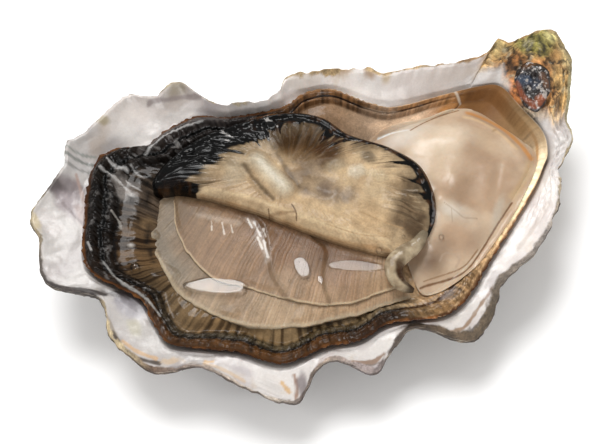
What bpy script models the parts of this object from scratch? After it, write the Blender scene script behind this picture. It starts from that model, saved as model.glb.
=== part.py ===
"""Oyster on the half shell: the cupped valve of a Pacific oyster with its meat in it.

The valve rests on a small flat foot under its belly.  Its hinge, with the ligament, points
to +X, the open bill to -X, and the far wall, which stands highest, is on the +Y side.  The
meat lies in the cup in layers: the lower mantle with its frilled edge, two gill leaves, the
soft body beside the hinge and the upper mantle folded back over all of them.

Every form is a loft of rings.  The rings run between a few closed curves, which pass through
landmarks given in millimetres: (x, y, z) from the middle of the foot side of the shell.
"""

import bmesh
import bpy
import numpy as np
from mathutils import Vector
from mathutils.bvhtree import BVHTree

MM = 0.001

# ---------------------------------------------------------------- driving dimensions, mm
AROUND = 92                  # points round the shell and round the lower mantle
GAP = 0.3                    # clearance between two pieces that touch
CUP_CENTRE = (-4.0, -1.0)    # the deepest place of the cup; the rings' hubs spread from it
CUP_FLOOR = 4.5              # height of the cup's floor: the shell is this thick there
CUP_FULLNESS = 2.2           # power of the cup's hollow: larger is flatter below
LIP_THICKNESS = 1.6          # the shell's edge
LIP_FLARE = 1.5              # power of the lip's curve, from the mantle line to the edge
HINGE_FLARE = 0.55           # the same at the hinge, whose shelf is nearly level
HINGE_SPAN = (36.0, 46.0)    # the rim turns into the hinge between these two x
LEAST_RISE = 1.0             # the lip counts as at least this high
HUB_SPREAD = 0.3             # length of the cup's middle line, as a part of the shell's
WALL = 1.9                   # least thickness of the standing wall, measured level
WALL_TAPER = 0.5             # part of that thickness lost towards the edge
TAPER_SPAN = (0.8, 1.0)      # the wall thins between these parts of the outside's height
FOOT_SIZE = 0.22             # the flat foot, as a part of the rim's reach from its hub
FOOT_MIDDLE = 0.5            # the foot's inner ring, as a part of the foot
BELLY_ROUND = 1.5            # power of the underside's curve
FRILLS = (0.6, 0.78)         # growth frills of the outside, as parts of its height
FRILL_DROP = 0.03            # a frill's lip hangs this far below its root, the same way
FRILL_REACH = 0.9            # how far each growth frill stands out
OUTSIDE_LEVELS = (0.0, 0.08, 0.25, 0.42)   # rings of the outside below its frills
LIP_PARTS = (0.0, 0.3, 0.65, 1.0)          # rings of the lip, from the edge inwards
CUP_PARTS = (0.9, 0.72, 0.48, 0.22)        # rings of the cup, from the mantle line inwards
MANTLE_EDGE = 1.4            # thickness of the lower mantle at the mantle line
FRINGE_CREST = 1.1           # height of the frilled edge above the mantle line
GROOVE_DEPTH = 0.5           # groove between the two folds of the fringe
INNER_CREST = 0.2            # height of the fringe's inner fold
FRINGE_STEPS = (1.4, 3.4, 4.8)   # crest, groove and inner fold: distances from the line
HINGE_FALLS = (0.6, 1.6, 2.4)    # how far the same three sink where they reach the hinge
BED_LEVEL = 13.6             # top of the lower mantle under the gills
BED_DIP = 1.6                # how far the bed lies below the fringe where it starts
BED_CLIMB = 0.55             # part of the way up to the fringe that its outermost ring climbs
BED_PARTS = (0.72, 0.48, 0.22)   # rings of the bed
LEAF_THICKNESS = 1.1         # a gill leaf
LEAF_CROWN = 0.5             # how much a leaf arches between its root and its edge
LEAF_SPAN = 26               # stations along a gill leaf
LEAF_LINES = 6               # lines from its root to its edge
LEAF_REACH = 1.8             # a leaf bridges steps narrower than this
CUSHION_REACH = 3.4          # and a thicker piece those narrower than this
BODY_EDGE = 0.8              # thickness of the soft body at its margin
BODY_CROWN = 3.4             # height of its dome above the margin
FLAP_EDGE = 1.0              # thickness of the upper mantle at its margin
FLAP_CROWN = 1.9             # height of its dome above the margin
DOME_ROUND = 2.4             # power of a dome: larger keeps it level further out
DOME_PARTS = (1.0, 0.96, 0.82, 0.66, 0.49, 0.32, 0.15)   # rings of a dome
CURL_WIDTH = 4.6             # width of the upper mantle's rolled tail
CURL_THICKNESS = 2.2         # and its thickness
CURL_TAPER = (0.2, 0.88)     # its ends, as parts of the sine's half turn that swells it
CURL_SECTIONS = 12           # sections along the tail
CURL_SIDES = 10              # points round each
PIT_DEPTH = 1.3              # the ligament's socket in the hinge shelf
PAD_LIFT = 0.1               # the ligament's top above the shelf
PAD_PARTS = (0.35, 0.8, 1.0) # rings of the ligament
PAD_CHAMFER = 0.2            # at its lower edge
PAD_DISH = 0.3               # how far its middle lies below its top
SOCKET_REACH = 4.0           # the socket's cutter reaches this far above the shelf
ABOVE_ALL = 100.0            # higher than any piece

# ---------------------------------------------------------------- landmarks, mm
# The shell's edge, counter-clockwise from the beak.
RIM = (
    (53.0, 18.5, 25.0), (45.5, 17.0, 25.0), (43.5, 19.5, 26.0), (38.5, 17.5, 24.5),   # beak
    (26.0, 19.5, 24.5), (19.5, 20.5, 24.5), (15.5, 23.0, 25.0), (7.5, 25.5, 25.0),    # far wall
    (1.5, 26.5, 24.5), (-2.0, 24.0, 24.0), (-8.0, 24.0, 24.0), (-14.0, 26.0, 24.0),
    (-19.0, 32.5, 25.0), (-24.5, 31.5, 24.5), (-30.0, 34.0, 24.0), (-36.0, 31.0, 23.0),
    (-43.0, 29.0, 22.0), (-45.5, 24.5, 21.0), (-54.0, 18.0, 19.0),                    # bill
    (-54.0, 12.5, 18.5), (-55.3, 8.5, 17.5), (-55.0, 3.5, 16.5), (-47.5, -3.0, 17.0),
    (-47.5, -10.0, 14.0), (-43.5, -17.5, 13.0), (-39.5, -20.0, 13.0),                 # near lobes
    (-34.0, -21.5, 14.5), (-27.0, -28.5, 13.0), (-22.0, -32.5, 11.5), (-19.0, -33.5, 11.5),
    (-16.5, -31.5, 12.5), (-14.0, -29.5, 14.0), (-10.0, -29.5, 14.5), (-4.5, -33.0, 11.5),
    (-1.5, -32.0, 12.5), (4.0, -29.0, 15.5), (7.5, -29.5, 15.0), (14.5, -33.7, 12.5),
    (20.0, -31.5, 13.5), (25.0, -26.0, 16.0), (32.5, -23.0, 17.0), (40.5, -16.0, 18.0),
    (45.0, -8.0, 18.5), (49.5, -3.5, 18.5), (50.0, 0.5, 19.5), (52.5, 5.0, 20.5),
    (55.5, 11.0, 22.0), (55.0, 15.5, 24.0),
)
# Where the meat meets the shell, counter-clockwise from the near side of the hinge hollow.
MANTLE_LINE = (
    (42.0, -6.5, 17.0), (44.0, -4.0, 17.0), (45.0, 0.5, 17.5), (43.0, 7.0, 18.5),
    (41.0, 12.5, 19.0), (37.0, 14.0, 19.0), (30.0, 15.0, 18.5), (23.5, 15.0, 19.0),
    (18.5, 15.5, 19.5), (14.5, 18.0, 20.0), (9.0, 22.5, 21.0), (3.5, 23.5, 21.0),
    (-2.0, 22.0, 21.0), (-12.0, 23.5, 21.0), (-18.0, 26.0, 21.0), (-24.5, 25.0, 21.0),
    (-29.0, 23.5, 20.5), (-34.0, 25.0, 20.0), (-38.5, 24.5, 19.5), (-42.5, 18.5, 19.5),
    (-45.0, 12.5, 19.0), (-47.5, 5.5, 18.5), (-46.5, 1.0, 18.0), (-40.5, -5.5, 16.5),
    (-39.5, -11.0, 16.0), (-38.0, -16.0, 15.5), (-33.0, -19.0, 15.5), (-27.0, -22.0, 15.5),
    (-20.0, -27.0, 15.0), (-11.5, -27.0, 15.5), (-5.0, -28.0, 15.5), (1.5, -27.0, 16.0),
    (11.0, -29.0, 16.0), (17.0, -27.0, 16.0), (23.5, -22.0, 16.0), (37.0, -11.5, 17.0),
)
# Free edges of the two gill leaves, and the line under the upper mantle where both hang.
LOWER_LEAF_EDGE = (
    (-30.5, 12.5, 17.0), (-34.0, 5.0, 16.6), (-33.0, -6.0, 16.2), (-26.0, -15.5, 15.8),
    (-15.5, -20.5, 15.6), (-3.0, -22.5, 15.6), (7.0, -23.0, 15.8),
)
UPPER_LEAF_EDGE = (
    (-27.5, 11.5, 17.8), (-29.0, 4.0, 17.6), (-27.0, -5.0, 17.4), (-20.5, -11.0, 17.0),
    (-14.0, -16.0, 16.8), (-6.0, -19.8, 16.8), (5.5, -20.5, 16.8),
)
LEAF_ROOT = (
    (-25.0, 14.5, 17.4), (-18.0, 10.5, 17.6), (-9.0, 3.0, 17.4), (0.0, -6.0, 17.2),
    (8.0, -15.0, 16.8),
)
# Outline of the soft body; its left part lies under the upper mantle.
BODY_OUTLINE = (
    (40.0, -4.5, 15.4), (40.5, 2.0, 15.0), (37.5, 8.0, 15.4), (33.0, 12.0, 16.4),
    (25.0, 11.5, 17.0), (15.0, 11.5, 17.0), (6.0, 6.0, 16.4), (6.0, -4.0, 16.0),
    (10.5, -13.0, 16.0), (12.0, -22.0, 15.6), (18.5, -21.0, 15.6), (25.0, -17.0, 15.8),
    (33.0, -11.5, 15.8),
)
# Outline of the upper mantle: its dark rim, then its lower edge over the gills.
FLAP_OUTLINE = (
    (18.5, -1.0, 20.5), (14.5, 5.0, 21.5), (8.0, 10.5, 22.0), (4.5, 16.0, 22.0),
    (-1.5, 19.5, 22.0), (-10.0, 20.5, 22.0), (-19.0, 20.0, 22.0), (-27.0, 17.5, 21.0),
    (-30.5, 14.0, 19.8), (-24.0, 10.5, 19.6), (-15.0, 3.5, 19.4), (-7.0, -4.0, 19.0),
    (1.0, -11.0, 18.6), (7.5, -15.0, 18.4), (13.0, -14.5, 18.6), (17.5, -9.5, 19.4),
)
FLAP_CENTRE = (-6.0, 7.0)
# Middle line of the rolled tail at the end of the upper mantle.
CURL_LINE = ((13.5, -12.0, 19.0), (10.5, -14.6, 18.9), (7.2, -16.6, 18.7), (6.0, -19.4, 18.3),
             (7.2, -22.0, 17.9))
# Outline of the ligament on the hinge shelf.
LIGAMENT_OUTLINE = (
    (44.5, 4.0, 20.5), (48.0, 7.0, 21.5), (49.0, 10.5, 22.5), (46.5, 13.0, 22.5),
    (43.5, 11.5, 21.0), (43.0, 7.5, 20.0),
)

# ---------------------------------------------------------------- finishes
FINISHES = {                 # colour, roughness
    "nacre": ((0.80, 0.76, 0.72), 0.35),
    "ligament": ((0.06, 0.04, 0.03), 0.30),
    "mantle": ((0.16, 0.12, 0.08), 0.25),
    "gill": ((0.52, 0.41, 0.28), 0.30),
    "body": ((0.74, 0.62, 0.48), 0.25),
    "flap": ((0.55, 0.46, 0.33), 0.25),
}


# ---------------------------------------------------------------- curves
def spline(landmarks, closed, steps=24):
    """Catmull-Rom curve through the landmarks, as many short chords."""
    points = np.array(landmarks, float)
    if closed:
        before, after, beyond = (np.roll(points, shift, 0) for shift in (1, -1, -2))
    else:
        ends = np.vstack([2 * points[0] - points[1], points, 2 * points[-1] - points[-2]])
        before, points, after, beyond = ends[:-3], ends[1:-2], ends[2:-1], ends[3:]
    t = (np.arange(steps) / steps)[None, :, None]
    p0, p1, p2, p3 = (p[:, None, :] for p in (before, points, after, beyond))
    curve = 0.5 * (2 * p1 + (p2 - p0) * t + (2 * p0 - 5 * p1 + 4 * p2 - p3) * t**2
                   + (3 * p1 - p0 - 3 * p2 + p3) * t**3).reshape(-1, 3)
    tail = curve[:1] if closed else after[-1:]
    return np.vstack([curve, tail])


def along(curve, count, closed=False):
    """Points at equal steps of length along a curve."""
    length = np.r_[0, np.cumsum(np.linalg.norm(np.diff(curve, axis=0), axis=1))]
    wanted = np.linspace(0, length[-1], count, endpoint=not closed)
    return np.stack([np.interp(wanted, length, curve[:, axis]) for axis in range(3)], 1)


def crossings(hubs, ring, curve):
    """Where the straight lines from the hubs to a ring's points cross a closed curve."""
    found = []
    for hub, point in zip(hubs, ring[:, :2]):
        ahead = point - hub
        offset = curve[:, :2] - hub
        side = ahead[0] * offset[:, 1] - ahead[1] * offset[:, 0]
        forward = offset @ ahead
        k = np.flatnonzero((side[:-1] * side[1:] <= 0) & (forward[:-1] > 0))[0]
        part = side[k] / (side[k] - side[k + 1])
        found.append(curve[k] + (curve[k + 1] - curve[k]) * part)
    return np.array(found)


def smooth_step(low, high, value):
    """0 below low, 1 above high, and a smooth rise between them."""
    t = np.clip((value - low) / (high - low), 0, 1)
    return t * t * (3 - 2 * t)


def toward(centre, ring, part, height):
    """The ring shrunk to a part of its size about a centre, at the given heights."""
    plan = np.array(centre) + (ring[:, :2] - centre) * np.reshape(part, (-1, 1))
    return np.column_stack([plan, np.broadcast_to(height, len(ring))])


# ---------------------------------------------------------------- meshes
def material(finish):
    """The Principled material of one finish."""
    colour, roughness = FINISHES[finish]
    made = bpy.data.materials.new(finish)
    made.use_nodes = True
    shader = made.node_tree.nodes["Principled BSDF"]
    shader.inputs["Base Color"].default_value = (*colour, 1.0)
    shader.inputs["Roughness"].default_value = roughness
    return made


def loft(name, rings, finish):
    """A closed solid whose skin joins each ring to the next, point by point, with both ends filled."""
    bm = bmesh.new()
    loops = [[bm.verts.new(Vector(point) * MM) for point in ring] for ring in rings]
    for near, far in zip(loops, loops[1:]):
        turned = zip(near, near[1:] + near[:1], far[1:] + far[:1], far)
        for corners in turned:
            bm.faces.new(corners)
    caps = [bm.faces.new(loops[0]), bm.faces.new(loops[-1])]
    bmesh.ops.poke(bm, faces=caps)
    bmesh.ops.triangulate(bm, faces=bm.faces)
    bmesh.ops.recalc_face_normals(bm, faces=bm.faces)
    if bm.calc_volume(signed=True) < 0:
        bmesh.ops.reverse_faces(bm, faces=bm.faces)
    mesh = bpy.data.meshes.new(name)
    bm.to_mesh(mesh)
    bm.free()
    mesh.shade_smooth()
    mesh.materials.append(material(finish))
    made = bpy.data.objects.new(name, mesh)
    bpy.context.scene.collection.objects.link(made)
    return made


def combine(target, other, operation):
    """A Boolean of two objects, kept as a modifier; the second becomes a hidden cutter."""
    modifier = target.modifiers.new(operation.title(), "BOOLEAN")
    modifier.operation = operation
    modifier.solver = "EXACT"
    modifier.object = other
    other.hide_render = True
    other.display_type = "WIRE"


class Table:
    """What a draped piece lies on: the tops of the pieces already made."""

    def __init__(self):
        self.trees = []

    def add(self, thing):
        """Count one more piece as something to lie on."""
        bm = bmesh.new()
        bm.from_mesh(thing.data)
        self.trees.append(BVHTree.FromBMesh(bm))
        bm.free()

    def height(self, x, y):
        """Height of the highest piece under a place, or nothing where none is."""
        start = Vector((x, y, ABOVE_ALL)) * MM
        hits = [tree.ray_cast(start, Vector((0, 0, -1)))[0] for tree in self.trees]
        heights = [hit.z / MM for hit in hits if hit is not None]
        return max(heights, default=-np.inf)

    def under(self, points, reach):
        """The height to lie at over each point, clear of everything within its reach."""
        turns = np.linspace(0, 2 * np.pi, 10, endpoint=False)
        offsets = [(radius * np.cos(turn), radius * np.sin(turn))
                   for radius in (0, reach / 2, reach) for turn in turns]
        return np.array([max(self.height(x + dx, y + dy) for dx, dy in offsets)
                         for x, y, _ in points]) + GAP


# ---------------------------------------------------------------- the shell
class Valve:
    """The cupped valve: rings of its inside and outside that share their directions.

    Each point of the edge has a hub of its own on the cup's long middle line.  A ring's point
    lies on the straight line from the hub to the edge, at a distance from the hub.
    """

    def __init__(self):
        self.rim = along(spline(RIM, True), AROUND, closed=True)
        self.hub = np.column_stack([
            CUP_CENTRE[0] + HUB_SPREAD * (self.rim[:, 0] - CUP_CENTRE[0]),
            np.full(AROUND, CUP_CENTRE[1]),
        ])
        self.line = crossings(self.hub, self.rim, spline(MANTLE_LINE, True))
        self.reach = np.linalg.norm(self.rim[:, :2] - self.hub, axis=1)
        self.depth = np.linalg.norm(self.line[:, :2] - self.hub, axis=1)
        self.floor = self.line[:, 2] - MANTLE_EDGE
        inward, onward = HINGE_SPAN
        self.hinge = smooth_step(inward, onward, self.rim[:, 0])
        self.flare = LIP_FLARE + (HINGE_FLARE - LIP_FLARE) * self.hinge

    def ring(self, distance, height):
        """Points at the given distances from the hubs and the given heights."""
        part = np.reshape(distance / self.reach, (-1, 1))
        plan = self.hub + (self.rim[:, :2] - self.hub) * part
        return np.column_stack([plan, np.broadcast_to(height, AROUND)])

    def lip_ring(self, part):
        """Inside, between the edge (part 0) and the mantle line (part 1)."""
        distance = self.reach + (self.depth - self.reach) * part
        return self.ring(distance,
                         self.floor + (self.rim[:, 2] - self.floor) * (1 - part) ** self.flare)

    def cup_ring(self, part, inset=0.0, lift=0.0):
        """Inside, between the mantle line (part 1) and the cup's middle line (part 0)."""
        height = CUP_FLOOR + (self.floor - CUP_FLOOR) * part**CUP_FULLNESS
        return self.ring(self.depth * part - inset, height + lift)

    def inside_at(self, height):
        """Distance from the hub to the inside face at a height, on each bearing."""
        cup = np.clip((height - CUP_FLOOR) / (self.floor - CUP_FLOOR), 0, 1)
        rise = np.maximum(self.rim[:, 2] - self.floor, LEAST_RISE)
        lip = np.clip((height - self.floor) / rise, 0, 1) ** (1 / self.flare)
        return self.depth * cup ** (1 / CUP_FULLNESS) + (self.reach - self.depth) * lip

    def outer_ring(self, level, stand_out=0.0):
        """Outside, from the flat foot (level 0) up to under the edge (level 1)."""
        height = (self.rim[:, 2] - LIP_THICKNESS) * level
        belly = FOOT_SIZE + (1 - FOOT_SIZE) * level ** (1 / BELLY_ROUND)
        wall = WALL * (1 - WALL_TAPER * smooth_step(*TAPER_SPAN, level))
        backed = np.maximum(self.reach * belly, self.inside_at(height) + wall)
        return self.ring(backed + stand_out * (1 - self.hinge), height)

    def rings(self):
        """From the middle of the foot, up the outside, over the edge and down the cup."""
        foot = self.ring(self.reach * FOOT_SIZE * FOOT_MIDDLE, 0.0)
        outside = [self.outer_ring(level) for level in OUTSIDE_LEVELS]
        for level in FRILLS:
            outside.append(self.outer_ring(level - FRILL_DROP, FRILL_REACH))
            outside.append(self.outer_ring(level))
        outside.append(self.outer_ring(1.0))
        lip = [self.lip_ring(part) for part in LIP_PARTS]
        cup = [self.cup_ring(part) for part in CUP_PARTS]
        return [foot] + outside + lip + cup


# ---------------------------------------------------------------- the meat
def lower_mantle(valve):
    """The bed of the meat: it lines the cup and ends in the two folds of its fringe."""
    inset = 1.5 * GAP
    under = [valve.cup_ring(part, inset, GAP) for part in (1.0, *CUP_PARTS)]
    fringe = 1 - valve.hinge

    def fold(step, rise, fall):
        """A ring of the fringe, a step inward of the mantle line; it sinks at the hinge."""
        height = valve.line[:, 2] + rise * fringe - fall * valve.hinge
        return valve.ring(valve.depth - inset - step, height)

    rises = (FRINGE_CREST, -GROOVE_DEPTH, INNER_CREST)
    over = [fold(0.0, 0.0, 0.0)]
    over += [fold(*sizes) for sizes in zip(FRINGE_STEPS, rises, HINGE_FALLS)]
    for part in BED_PARTS:
        margin = valve.line[:, 2] - BED_DIP
        height = BED_LEVEL + (margin - BED_LEVEL) * BED_CLIMB * part**2
        over.append(valve.ring(valve.depth * part, height))
    return loft("mantle_lower", under[::-1] + over, "mantle")


def leaf(name, table, edge, root):
    """A gill leaf: a sheet from its root line to its free edge, lying on what is below."""
    outer = along(spline(edge, False), LEAF_SPAN)
    inner = along(spline(root, False), LEAF_SPAN)
    parts = np.linspace(0, 1, LEAF_LINES)
    lines = [inner + (outer - inner) * part for part in parts]
    below = [table.under(line, LEAF_REACH) for line in lines]
    above = []
    for line, low, part in zip(lines, below, parts):
        crown = LEAF_CROWN * np.sin(np.pi * part)
        above.append(np.maximum(line[:, 2] + crown, low + LEAF_THICKNESS))
    sections = []
    for i in range(LEAF_SPAN):
        upper = [(*line[i, :2], high[i]) for line, high in zip(lines, above)]
        lower = [(*line[i, :2], low[i]) for line, low in zip(lines, below)]
        sections.append(upper + lower[::-1])
    return loft(name, sections, "gill")


def cushion(name, table, outline, centre, edge, crown, finish, around=40):
    """A soft lens: its margin follows the outline and its dome rises to the centre."""
    ring = along(spline(outline, True), around, closed=True)
    over, under = [], []
    for part in DOME_PARTS:
        plan = toward(centre, ring, part, 0.0)
        low = table.under(plan, CUSHION_REACH)
        middle = np.mean(ring[:, 2])
        level = middle + (ring[:, 2] - middle) * part
        dome = crown * np.sqrt(max(0.0, 1 - part**DOME_ROUND))
        high = np.maximum(level + dome, low + edge)
        over.append(np.column_stack([plan[:, :2], high]))
        under.append(np.column_stack([plan[:, :2], low]))
    return loft(name, under[::-1] + over, finish)


def curl(table):
    """The rolled tail: a flat tapering roll along its middle line, lying on what is below."""
    path = along(spline(CURL_LINE, False), CURL_SECTIONS)
    heading = np.gradient(path, axis=0)[:, :2]
    heading /= np.linalg.norm(heading, axis=1)[:, None]
    side = np.column_stack([-heading[:, 1], heading[:, 0]])
    turns = np.linspace(0, 2 * np.pi, CURL_SIDES, endpoint=False)
    first, last = CURL_TAPER
    lying = table.under(path, CUSHION_REACH) + 0.5 * CURL_THICKNESS
    path[:, 2] = np.maximum(path[:, 2], lying)
    sections = []
    for i, place in enumerate(path):
        swell = np.sin(np.pi * (first + (last - first) * i / (len(path) - 1)))
        across = 0.5 * CURL_WIDTH * swell * np.cos(turns)
        up = 0.5 * CURL_THICKNESS * swell * np.sin(turns)
        sections.append(np.column_stack([place[:2] + side[i] * across[:, None], place[2] + up]))
    return loft("tail_roll", sections, "flap")


def ligament(name, spread, sink, lift):
    """The horny pad of the hinge; wider and deeper, it is the cutter of its own socket."""
    ring = along(spline(LIGAMENT_OUTLINE, True), 20, closed=True)
    centre = ring[:, :2].mean(0)
    radius = np.linalg.norm(ring[:, :2] - centre, axis=1)
    rings = []
    inner, middle, outer = PAD_PARTS
    for part, height in ((inner, -sink), (middle, -sink), (outer, PAD_CHAMFER - sink),
                         (outer, lift), (middle, lift), (inner, lift - PAD_DISH)):
        scale = part + spread / radius
        level = ring[:, 2].mean() + (ring[:, 2] - ring[:, 2].mean()) * part
        rings.append(toward(centre, ring, scale, level + height))
    return loft(name, rings, "ligament")


def build():
    """Make the shell first, then each layer of the meat on top of those below."""
    for thing in list(bpy.data.objects):
        bpy.data.objects.remove(thing)
    valve = Valve()
    shell = loft("shell", valve.rings(), "nacre")
    combine(shell, ligament("ligament_socket", GAP, PIT_DEPTH + GAP, SOCKET_REACH), "DIFFERENCE")
    ligament("hinge_ligament", 0.0, PIT_DEPTH, PAD_LIFT)

    table = Table()
    table.add(lower_mantle(valve))
    table.add(leaf("gill_leaf_lower", table, LOWER_LEAF_EDGE, LEAF_ROOT))
    table.add(leaf("gill_leaf_upper", table, UPPER_LEAF_EDGE, LEAF_ROOT))
    body_centre = np.mean(BODY_OUTLINE, axis=0)[:2]
    table.add(cushion("body", table, BODY_OUTLINE, body_centre, BODY_EDGE, BODY_CROWN, "body"))
    flap = cushion("mantle_upper", table, FLAP_OUTLINE, FLAP_CENTRE, FLAP_EDGE, FLAP_CROWN,
                   "flap", around=48)
    combine(flap, curl(table), "UNION")


build()
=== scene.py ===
"""Oyster on the half shell: the looks of the cupped valve and of the meat lying in it.

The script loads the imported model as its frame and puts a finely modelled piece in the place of
each plain solid.  Every piece is one closed skin of rings, worked out as whole arrays: a ring is
a row of the array, and its columns go round the piece.  Lengths are millimetres until a mesh is
made.  +X points to the hinge, +Y to the high far wall and +Z up.

Numbers without a name in a formula are lengths in mm or parts from 0 to 1.  The last two numbers
in a call of noise or ripple, and the first two in a call of weave, say which pattern it is and
how many sizes of swell are summed.
"""

import logging
import math
from dataclasses import dataclass, field
from enum import Enum
from itertools import product

import bpy
import numpy as np
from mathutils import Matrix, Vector

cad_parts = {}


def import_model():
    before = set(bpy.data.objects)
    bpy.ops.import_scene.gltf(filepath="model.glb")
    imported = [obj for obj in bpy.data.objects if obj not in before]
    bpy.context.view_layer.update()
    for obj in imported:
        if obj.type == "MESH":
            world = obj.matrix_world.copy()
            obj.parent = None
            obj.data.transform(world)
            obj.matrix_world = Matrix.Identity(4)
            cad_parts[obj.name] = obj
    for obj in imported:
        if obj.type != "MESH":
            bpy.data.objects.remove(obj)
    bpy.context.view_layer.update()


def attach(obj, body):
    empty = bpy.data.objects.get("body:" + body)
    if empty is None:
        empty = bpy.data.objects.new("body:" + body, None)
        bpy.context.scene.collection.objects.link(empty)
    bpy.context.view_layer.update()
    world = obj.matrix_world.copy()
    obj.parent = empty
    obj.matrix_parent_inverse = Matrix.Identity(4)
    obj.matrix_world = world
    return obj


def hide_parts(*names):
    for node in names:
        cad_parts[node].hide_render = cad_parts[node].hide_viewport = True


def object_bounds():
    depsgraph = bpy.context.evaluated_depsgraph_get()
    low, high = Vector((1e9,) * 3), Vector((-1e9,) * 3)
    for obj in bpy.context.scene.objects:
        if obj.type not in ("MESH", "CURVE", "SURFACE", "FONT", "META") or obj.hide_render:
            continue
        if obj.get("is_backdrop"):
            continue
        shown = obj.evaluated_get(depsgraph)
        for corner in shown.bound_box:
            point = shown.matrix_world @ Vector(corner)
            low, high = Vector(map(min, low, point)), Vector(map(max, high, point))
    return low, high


MM = 0.001
BODY = "root"
TINT = "tint"        # attribute: the colour of the flesh or shell at a point
POLISH = "polish"    # attribute: 0 where the surface is dull and rough, 1 where it is smooth
STUDIO_LIGHT = 1.6   # how much brighter than paper the studio shows a matt colour
SHELL_TINTS = (0.002, 0.95)   # darkest and lightest tint allowed
MANTLE_TINTS = (0.002, 0.9)
FLESH_TINTS = (0.002, 0.92)

Array = np.ndarray
Colour = int    # 0xRRGGBB, as it looks in the studio's light
Place = tuple[float, float]
Point = tuple[float, float, float]

log = logging.getLogger("oyster")


# ------------------------------------------------------------------ the shape's landmarks, mm
# The shell's edge, counter-clockwise from the beak.
RIM: tuple[Point, ...] = (
    (53, 18.5, 25), (46, 17.9, 25.3), (43.2, 19.3, 25.7), (38.5, 17.5, 24.5),   # beak
    (26, 19.5, 24.5), (19.5, 20.5, 24.5), (15.5, 23, 25), (7.5, 25.5, 25),    # far wall
    (1.5, 26.5, 24.5), (-2, 24, 24), (-8, 24, 24), (-14, 26, 24),
    (-19, 32.5, 25), (-24.5, 31.5, 24.5), (-30, 34, 24), (-36, 31, 23),
    (-43, 29, 22), (-45.5, 24.5, 21), (-54, 18, 19),                    # bill
    (-54, 12.5, 18.5), (-55.3, 8.5, 17.5), (-55, 3.5, 16.5), (-47.5, -3, 17),
    (-47.5, -10, 14), (-43.5, -17.5, 13), (-39.5, -20, 13),                 # near lobes
    (-34, -21.5, 14.5), (-27, -28.5, 13), (-22, -32.5, 11.5), (-19, -33.5, 11.5),
    (-16.5, -31.5, 12.5), (-14, -29.5, 14), (-10, -29.5, 14.5), (-4.5, -33, 11.5),
    (-1.5, -32, 12.5), (4, -29, 15.5), (7.5, -29.5, 15), (14.5, -33.7, 12.5),
    (20, -31.5, 13.5), (25, -26, 16), (32.5, -23, 17), (40.5, -16, 18),
    (45, -8, 18.5), (49.5, -3.5, 18.5), (50, 0.5, 19.5), (52.5, 5, 20.5),
    (55.5, 11, 22), (55, 15.5, 24),
)
# Where the meat meets the shell, counter-clockwise from the near side of the hinge hollow.
MANTLE_LINE: tuple[Point, ...] = (
    (42, -6.5, 17), (44, -4, 17), (45, 0.5, 17.5), (43, 7, 18.5),
    (41, 12.5, 19), (37, 14, 19), (30, 15, 18.5), (23.5, 15, 19),
    (18.5, 15.5, 19.5), (14.5, 18, 20), (9, 22.5, 21), (3.5, 23.5, 21),
    (-2, 22, 21), (-12, 23.5, 21), (-18, 26, 21), (-24.5, 25, 21),
    (-29, 23.5, 20.5), (-34, 25, 20), (-38.5, 24.5, 19.5), (-42.5, 18.5, 19.5),
    (-45, 12.5, 19), (-47.5, 5.5, 18.5), (-46.5, 1, 18), (-40.5, -5.5, 16.5),
    (-39.5, -11, 16), (-38, -16, 15.5), (-33, -19, 15.5), (-27, -22, 15.5),
    (-20, -27, 15), (-11.5, -27, 15.5), (-5, -28, 15.5), (1.5, -27, 16),
    (11, -29, 16), (17, -27, 16), (23.5, -22, 16), (37, -11.5, 17),
)
# Free edges of the two gill leaves, and the line under the upper mantle where both hang.
LOWER_LEAF_EDGE: tuple[Point, ...] = (
    (-30.5, 12.5, 17), (-34, 5, 16.6), (-33, -6, 16.2), (-26, -15.5, 15.8),
    (-15.5, -20.5, 15.6), (-3, -22.5, 15.6), (7, -23, 15.8),
)
UPPER_LEAF_EDGE: tuple[Point, ...] = (
    (-27.5, 11.5, 17.8), (-29, 4, 17.6), (-27, -5, 17.4), (-20.5, -11, 17),
    (-14, -16, 16.8), (-6, -19.8, 16.8), (5.5, -20.5, 16.8),
)
LEAF_ROOT: tuple[Point, ...] = (
    (-25, 14.5, 17.4), (-18, 10.5, 17.6), (-9, 3, 17.4), (0, -6, 17.2),
    (8, -15, 16.8),
)
# Outline of the soft body; its left part lies under the upper mantle.
BODY_OUTLINE: tuple[Point, ...] = (
    (41, -4.6, 15.6), (40.6, 2, 15), (37.2, 8, 15.4), (32.4, 11.6, 16.4),
    (25, 11.5, 17), (15, 11.6, 17), (6, 6, 16.4), (6, -4, 16),
    (9, -13, 16), (9.6, -23.2, 15.2), (18.5, -22.6, 15.3), (26, -18.4, 15.5),
    (34.4, -12, 15.6),
)
# Outline of the upper mantle: its dark rim, then its lower edge over the gills.
FLAP_OUTLINE: tuple[Point, ...] = (
    (18.5, -1, 20.5), (14.5, 5, 21.5), (8, 10.5, 22), (4.5, 16, 22),
    (-1.5, 19.5, 22), (-10, 20.5, 22), (-19, 20, 22), (-27, 17.5, 21),
    (-30.5, 14, 19.8), (-24, 10.5, 19.6), (-15, 3.5, 19.4), (-7, -4, 19),
    (1, -11, 18.6), (7.5, -15, 18.4), (13, -14.5, 18.6), (17.5, -9.5, 19.4),
)
# Middle line of the rolled tail at the end of the upper mantle.
CURL_LINE: tuple[Point, ...] = (
    (13.8, -13, 18.2), (11.6, -14.8, 19), (8.6, -15.8, 19.4), (6.2, -16.9, 19.3),
    (5.2, -19, 18.8), (5.8, -21.2, 18.1), (7.6, -22.7, 17.4),
)
# Outline of the ligament on the hinge shelf.
LIGAMENT_OUTLINE: tuple[Point, ...] = (
    (44.5, 4, 20.5), (48, 7, 21.5), (49, 10.5, 22.5), (46.5, 13, 22.5),
    (43.5, 11.5, 21), (43, 7.5, 20),
)


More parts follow.
